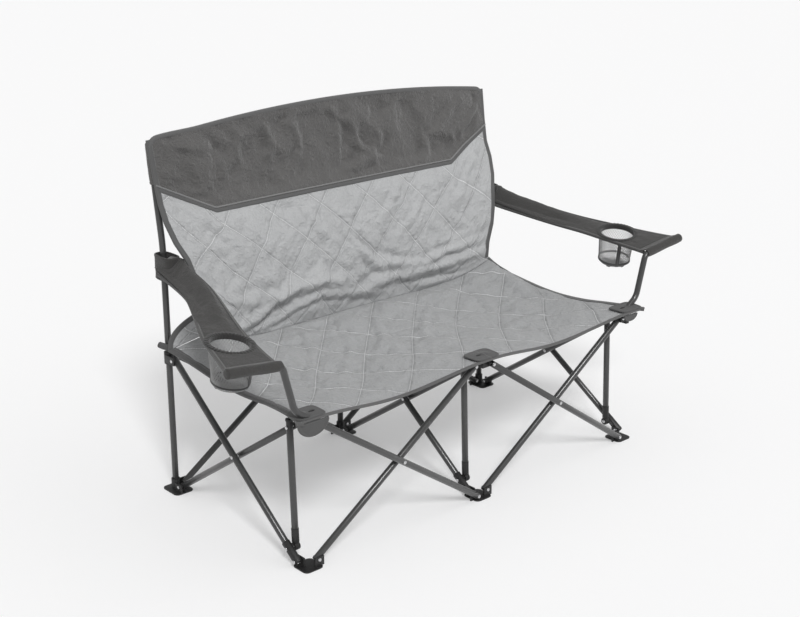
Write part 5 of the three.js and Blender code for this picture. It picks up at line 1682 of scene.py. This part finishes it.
def net_point(side_frame, turn, share, out=0.0):
    centre, across, away, normal = side_frame
    radius, depth = net_profile(share)
    if centre.x < 0:  # the left net is slacker, and hangs a little inwards
        depth += slack_drop * smooth(share / 0.6)
        centre = centre + slack_shift * smooth(share / 0.6)
    sag = 0.8 * math.sin(4 * turn) * math.sin(math.pi * clamp(share * 1.4))
    outward = across * math.cos(turn) + away * math.sin(turn)
    return centre + outward * ((radius + sag + out) / 1000) - normal * (depth / 1000)


def strap(shape, points, outs, half_width):
    """Adds a flat strap along points: outs give the way out of the cup at each."""
    rows = []
    for k, (point, out) in enumerate(zip(points, outs)):
        way = (points[min(k + 1, len(points) - 1)] - points[max(k - 1, 0)]).normalized()
        wide = way.cross(out).normalized() * (half_width / 1000)
        near, far = out * 0.0002, out * 0.0009
        rows.append([point - wide + near, point + wide + near, point + wide + far, point - wide + far])
    shape.loft(rows, across=[0, half_width * 0.002, half_width * 0.002, 0])


for side, label in ((-1, "left"), (1, "right")):
    place = ring_frame(side)
    net = Shape()
    for way in (1, -1):
        for start in round_turns(threads):
            line = [net_point(place, start + way * n / 44 * 1.9, n / 44, way * 0.16) for n in range(45)]
            net.loft([circle(p, s, u, 0.00062, 4) for p, (s, u) in zip(line, frames(line))])
    for share in (0.0, 0.016):
        hoop = [net_point(place, 2 * math.pi * k / 72, share) for k in range(73)]
        net.loft([circle(p, s, u, 0.0009, 6) for p, (s, u) in zip(hoop, frames(hoop))], ends=(False, False))
    net = net.finish(f"cup_net_{label}_mesh", net_thread, angle=80)
    fit_out(net, f"arm_{label}", "net_fabric", f"cup_net_{label}")
    gathered(net)
    bands = Shape()
    centre, across, away, normal = place
    seam_way = Vector((-0.62, -0.78, 0) if side > 0 else (0.62, -0.78, 0))
    seam_turn = math.atan2(seam_way.dot(away), seam_way.dot(across))
    shares = [k / 30 for k in range(31)]
    outward = lambda turn: across * math.cos(turn) + away * math.sin(turn)
    seam_half, hoop_half = (5.0, 3.4) if side > 0 else (10.0, 2.2)
    strap(bands, [net_point(place, seam_turn, s * 0.66, 0.8) for s in shares], [outward(seam_turn)] * 31, seam_half)
    circle_turns = [*round_turns(64), 2 * math.pi]
    strap(bands, [net_point(place, t, 0.60, 0.9) for t in circle_turns], [outward(t) for t in circle_turns], hoop_half)
    depth = net_profile(1.0)[1] + 0.9 + (slack_drop if side < 0 else 0)
    heart = centre + (slack_shift if side < 0 else Vector()) - normal * (depth / 1000)
    for turn in (seam_turn + math.radians(38), seam_turn - math.radians(38)):
        reach = [mix(-0.034, 0.034, k / 24) for k in range(25)]
        strap(bands, [heart + outward(turn) * r for r in reach], [-normal] * 25, 5.0)
    gathered(fabric_trim(bands.finish(f"cup_net_{label}_tapes", net_tape, angle=50), f"arm_{label}"))
print("nets have", 2 * threads, "threads each")

# %% [markdown]
# ## Corner patches
# Where the seat is screwed to a front hub it is doubled with a diamond of webbing. Its corners are
# rounded, its middle is drawn down onto the hub and rises in a low boss, and a slot lets the tube's
# rivet through.

# %% Patches
def patch(node, body, boss_x):
    low_box, high_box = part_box(node)
    half_x, half_y = (high_box[0] - low_box[0]) / 2, (high_box[1] - low_box[1]) / 2
    middle = Vector(((high_box[0] + low_box[0]) / 2, (high_box[1] + low_box[1]) / 2, high_box[2] + 0.0012))
    rounds, around, thick = 14, 72, 0.0022
    rings = []

    def surface(share, turn):
        corner = (abs(math.cos(turn)) ** 5 + abs(math.sin(turn)) ** 5) ** (-1 / 5)
        dx, dy = half_x * share * corner * math.cos(turn), half_y * share * corner * math.sin(turn)
        boss = math.exp(-(((dx - boss_x) / 0.012) ** 2 + (dy / 0.010) ** 2) ** 2) * 0.0026
        edge = 0.0012 * smooth((share - 0.86) / 0.1) * (1 - smooth((share - 0.955) / 0.045))
        slump = -0.0012 * share**2 + 0.0006 * math.sin(2 * turn + 1) * share
        return middle + Vector((dx, dy, boss + edge + slump + 0.0008))

    for k in range(rounds + 1):
        share = (k + 0.02) / (rounds + 0.02)
        rings.append([surface(share, turn) for turn in round_turns(around)])
    under = [[p - z_axis * thick for p in ring] for ring in rings[::-1]]
    shape = Shape().loft(rings + under, ends=(True, True))
    shape.flat = [(shape.points[c].x, shape.points[c].y) for face in shape.faces for c in face]
    piece = shape.finish(f"{node}_webbing", webbing, angle=60)
    fit_out(piece, body, "trim_fabric", node)
    slot_x = -boss_x * 0.9 - math.copysign(0.004, boss_x)
    own = ((-0.0012, 1.0), (0.0004, 1.0), (0.0009, 0.9), (0.001, 0.4))
    slot = middle + Vector((slot_x, -0.002, 0.0008))
    rim_rings = [[slot + Vector((0.0085 * grow * math.cos(t), 0.0035 * grow * math.sin(t), h))
                  for t in round_turns(24)] for h, grow in own]
    fit_out(Shape().loft(rim_rings).finish(f"{node}_eyelet", nylon), body, "black_plastic")
    hub = node.split("_")[-1] if "corner" in node else "center"
    return middle


for node, body, boss_x in (("corner_patch_left", "hub_left", -0.012), ("corner_patch_right", "hub_right", 0.012),
                           ("center_patch", "hub_center", 0.008)):
    print(node, [round(c, 3) for c in patch(node, body, boss_x)])

# %% [markdown]
# Under each front corner hangs a half-round flap of doubled cloth that takes the tube's end. It is
# bound along its curved edge.

# %% Corner pockets
for side, label in ((-1, "left"), (1, "right")):
    node = f"corner_pocket_{label}"
    box_low, box_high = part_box(node)
    middle_x, middle_y = (box_low[0] + box_high[0]) / 2, (box_low[1] + box_high[1]) / 2
    half_x, drop, top = (box_high[0] - box_low[0]) / 2, box_high[2] - box_low[2], box_high[2]
    if side > 0:
        half_x, drop = half_x * 0.62, drop * 0.45
    else:
        drop, middle_x = drop * 0.84, middle_x - 0.012
    rounds, around = 14, 56
    heart = -0.42 * drop

    def rim(turn):
        """From the heart of the half disc to its edge in the direction of turn."""
        dx, dz = math.cos(turn), math.sin(turn)
        p, q, r = (dx / half_x) ** 2 + (dz / drop) ** 2, heart * dz / drop**2, (heart / drop) ** 2 - 1
        reach = (-q + math.sqrt(q * q - p * r)) / p
        return min(reach, -heart / dz) if dz > 1e-6 else reach

    rows = []
    for face, order in ((-1, 1), (1, -1)):
        part = []
        for k in range(rounds + 1):
            share = (k + 0.02) / (rounds + 0.02)
            ring = []
            for turn in round_turns(around):
                reach = rim(turn) * share
                dx, dz = math.cos(turn) * reach, heart + math.sin(turn) * reach
                puff = 0.0014 + 0.0011 * smooth((share - 0.80) / 0.08) - 0.0014 * smooth((share - 0.95) / 0.05)
                ring.append(Vector((middle_x + dx, middle_y + face * puff, top + dz)))
            part.append(ring)
        rows += part if order > 0 else part[::-1]
    shape = Shape().loft(rows, ends=(True, True))
    shape.flat = [(shape.points[c].x, shape.points[c].z) for face in shape.faces for c in face]
    pocket = shape.finish(f"{node}_flap", webbing, angle=60)
    fit_out(pocket, f"hub_{label}", "trim_fabric", node)
print("corner pockets", round(drop * 1000), "mm deep")

# %% [markdown]
# The seat's rear corners end in a short tab of webbing that goes round behind the sliding collar.

# %% Corner tabs
for side, label in ((-1, "left"), (1, "right")):
    start, stop = at(side * 546, 533, 383), at(side * 566, 550, 394)
    way = (stop - start).normalized()
    flat_side = way.cross(z_axis).normalized()
    lift = flat_side.cross(way)
    own = ((0.0, 5.0, 2.0), (0.1, 7.5, 3.2), (0.5, 8.5, 3.8), (0.85, 8.0, 3.6), (0.97, 6.0, 2.8), (1.0, 2.5, 1.2))
    rings = [[mix(start, stop, share) + (lift * (tall * math.sin(t)) + flat_side * (thick * math.cos(t))) / 1000
              for t in round_turns(28)] for share, tall, thick in own]
    fabric_trim(Shape().loft(rings).finish(f"corner_tab_{label}", webbing, angle=60), f"collar_{label}")
print("corner tabs done")
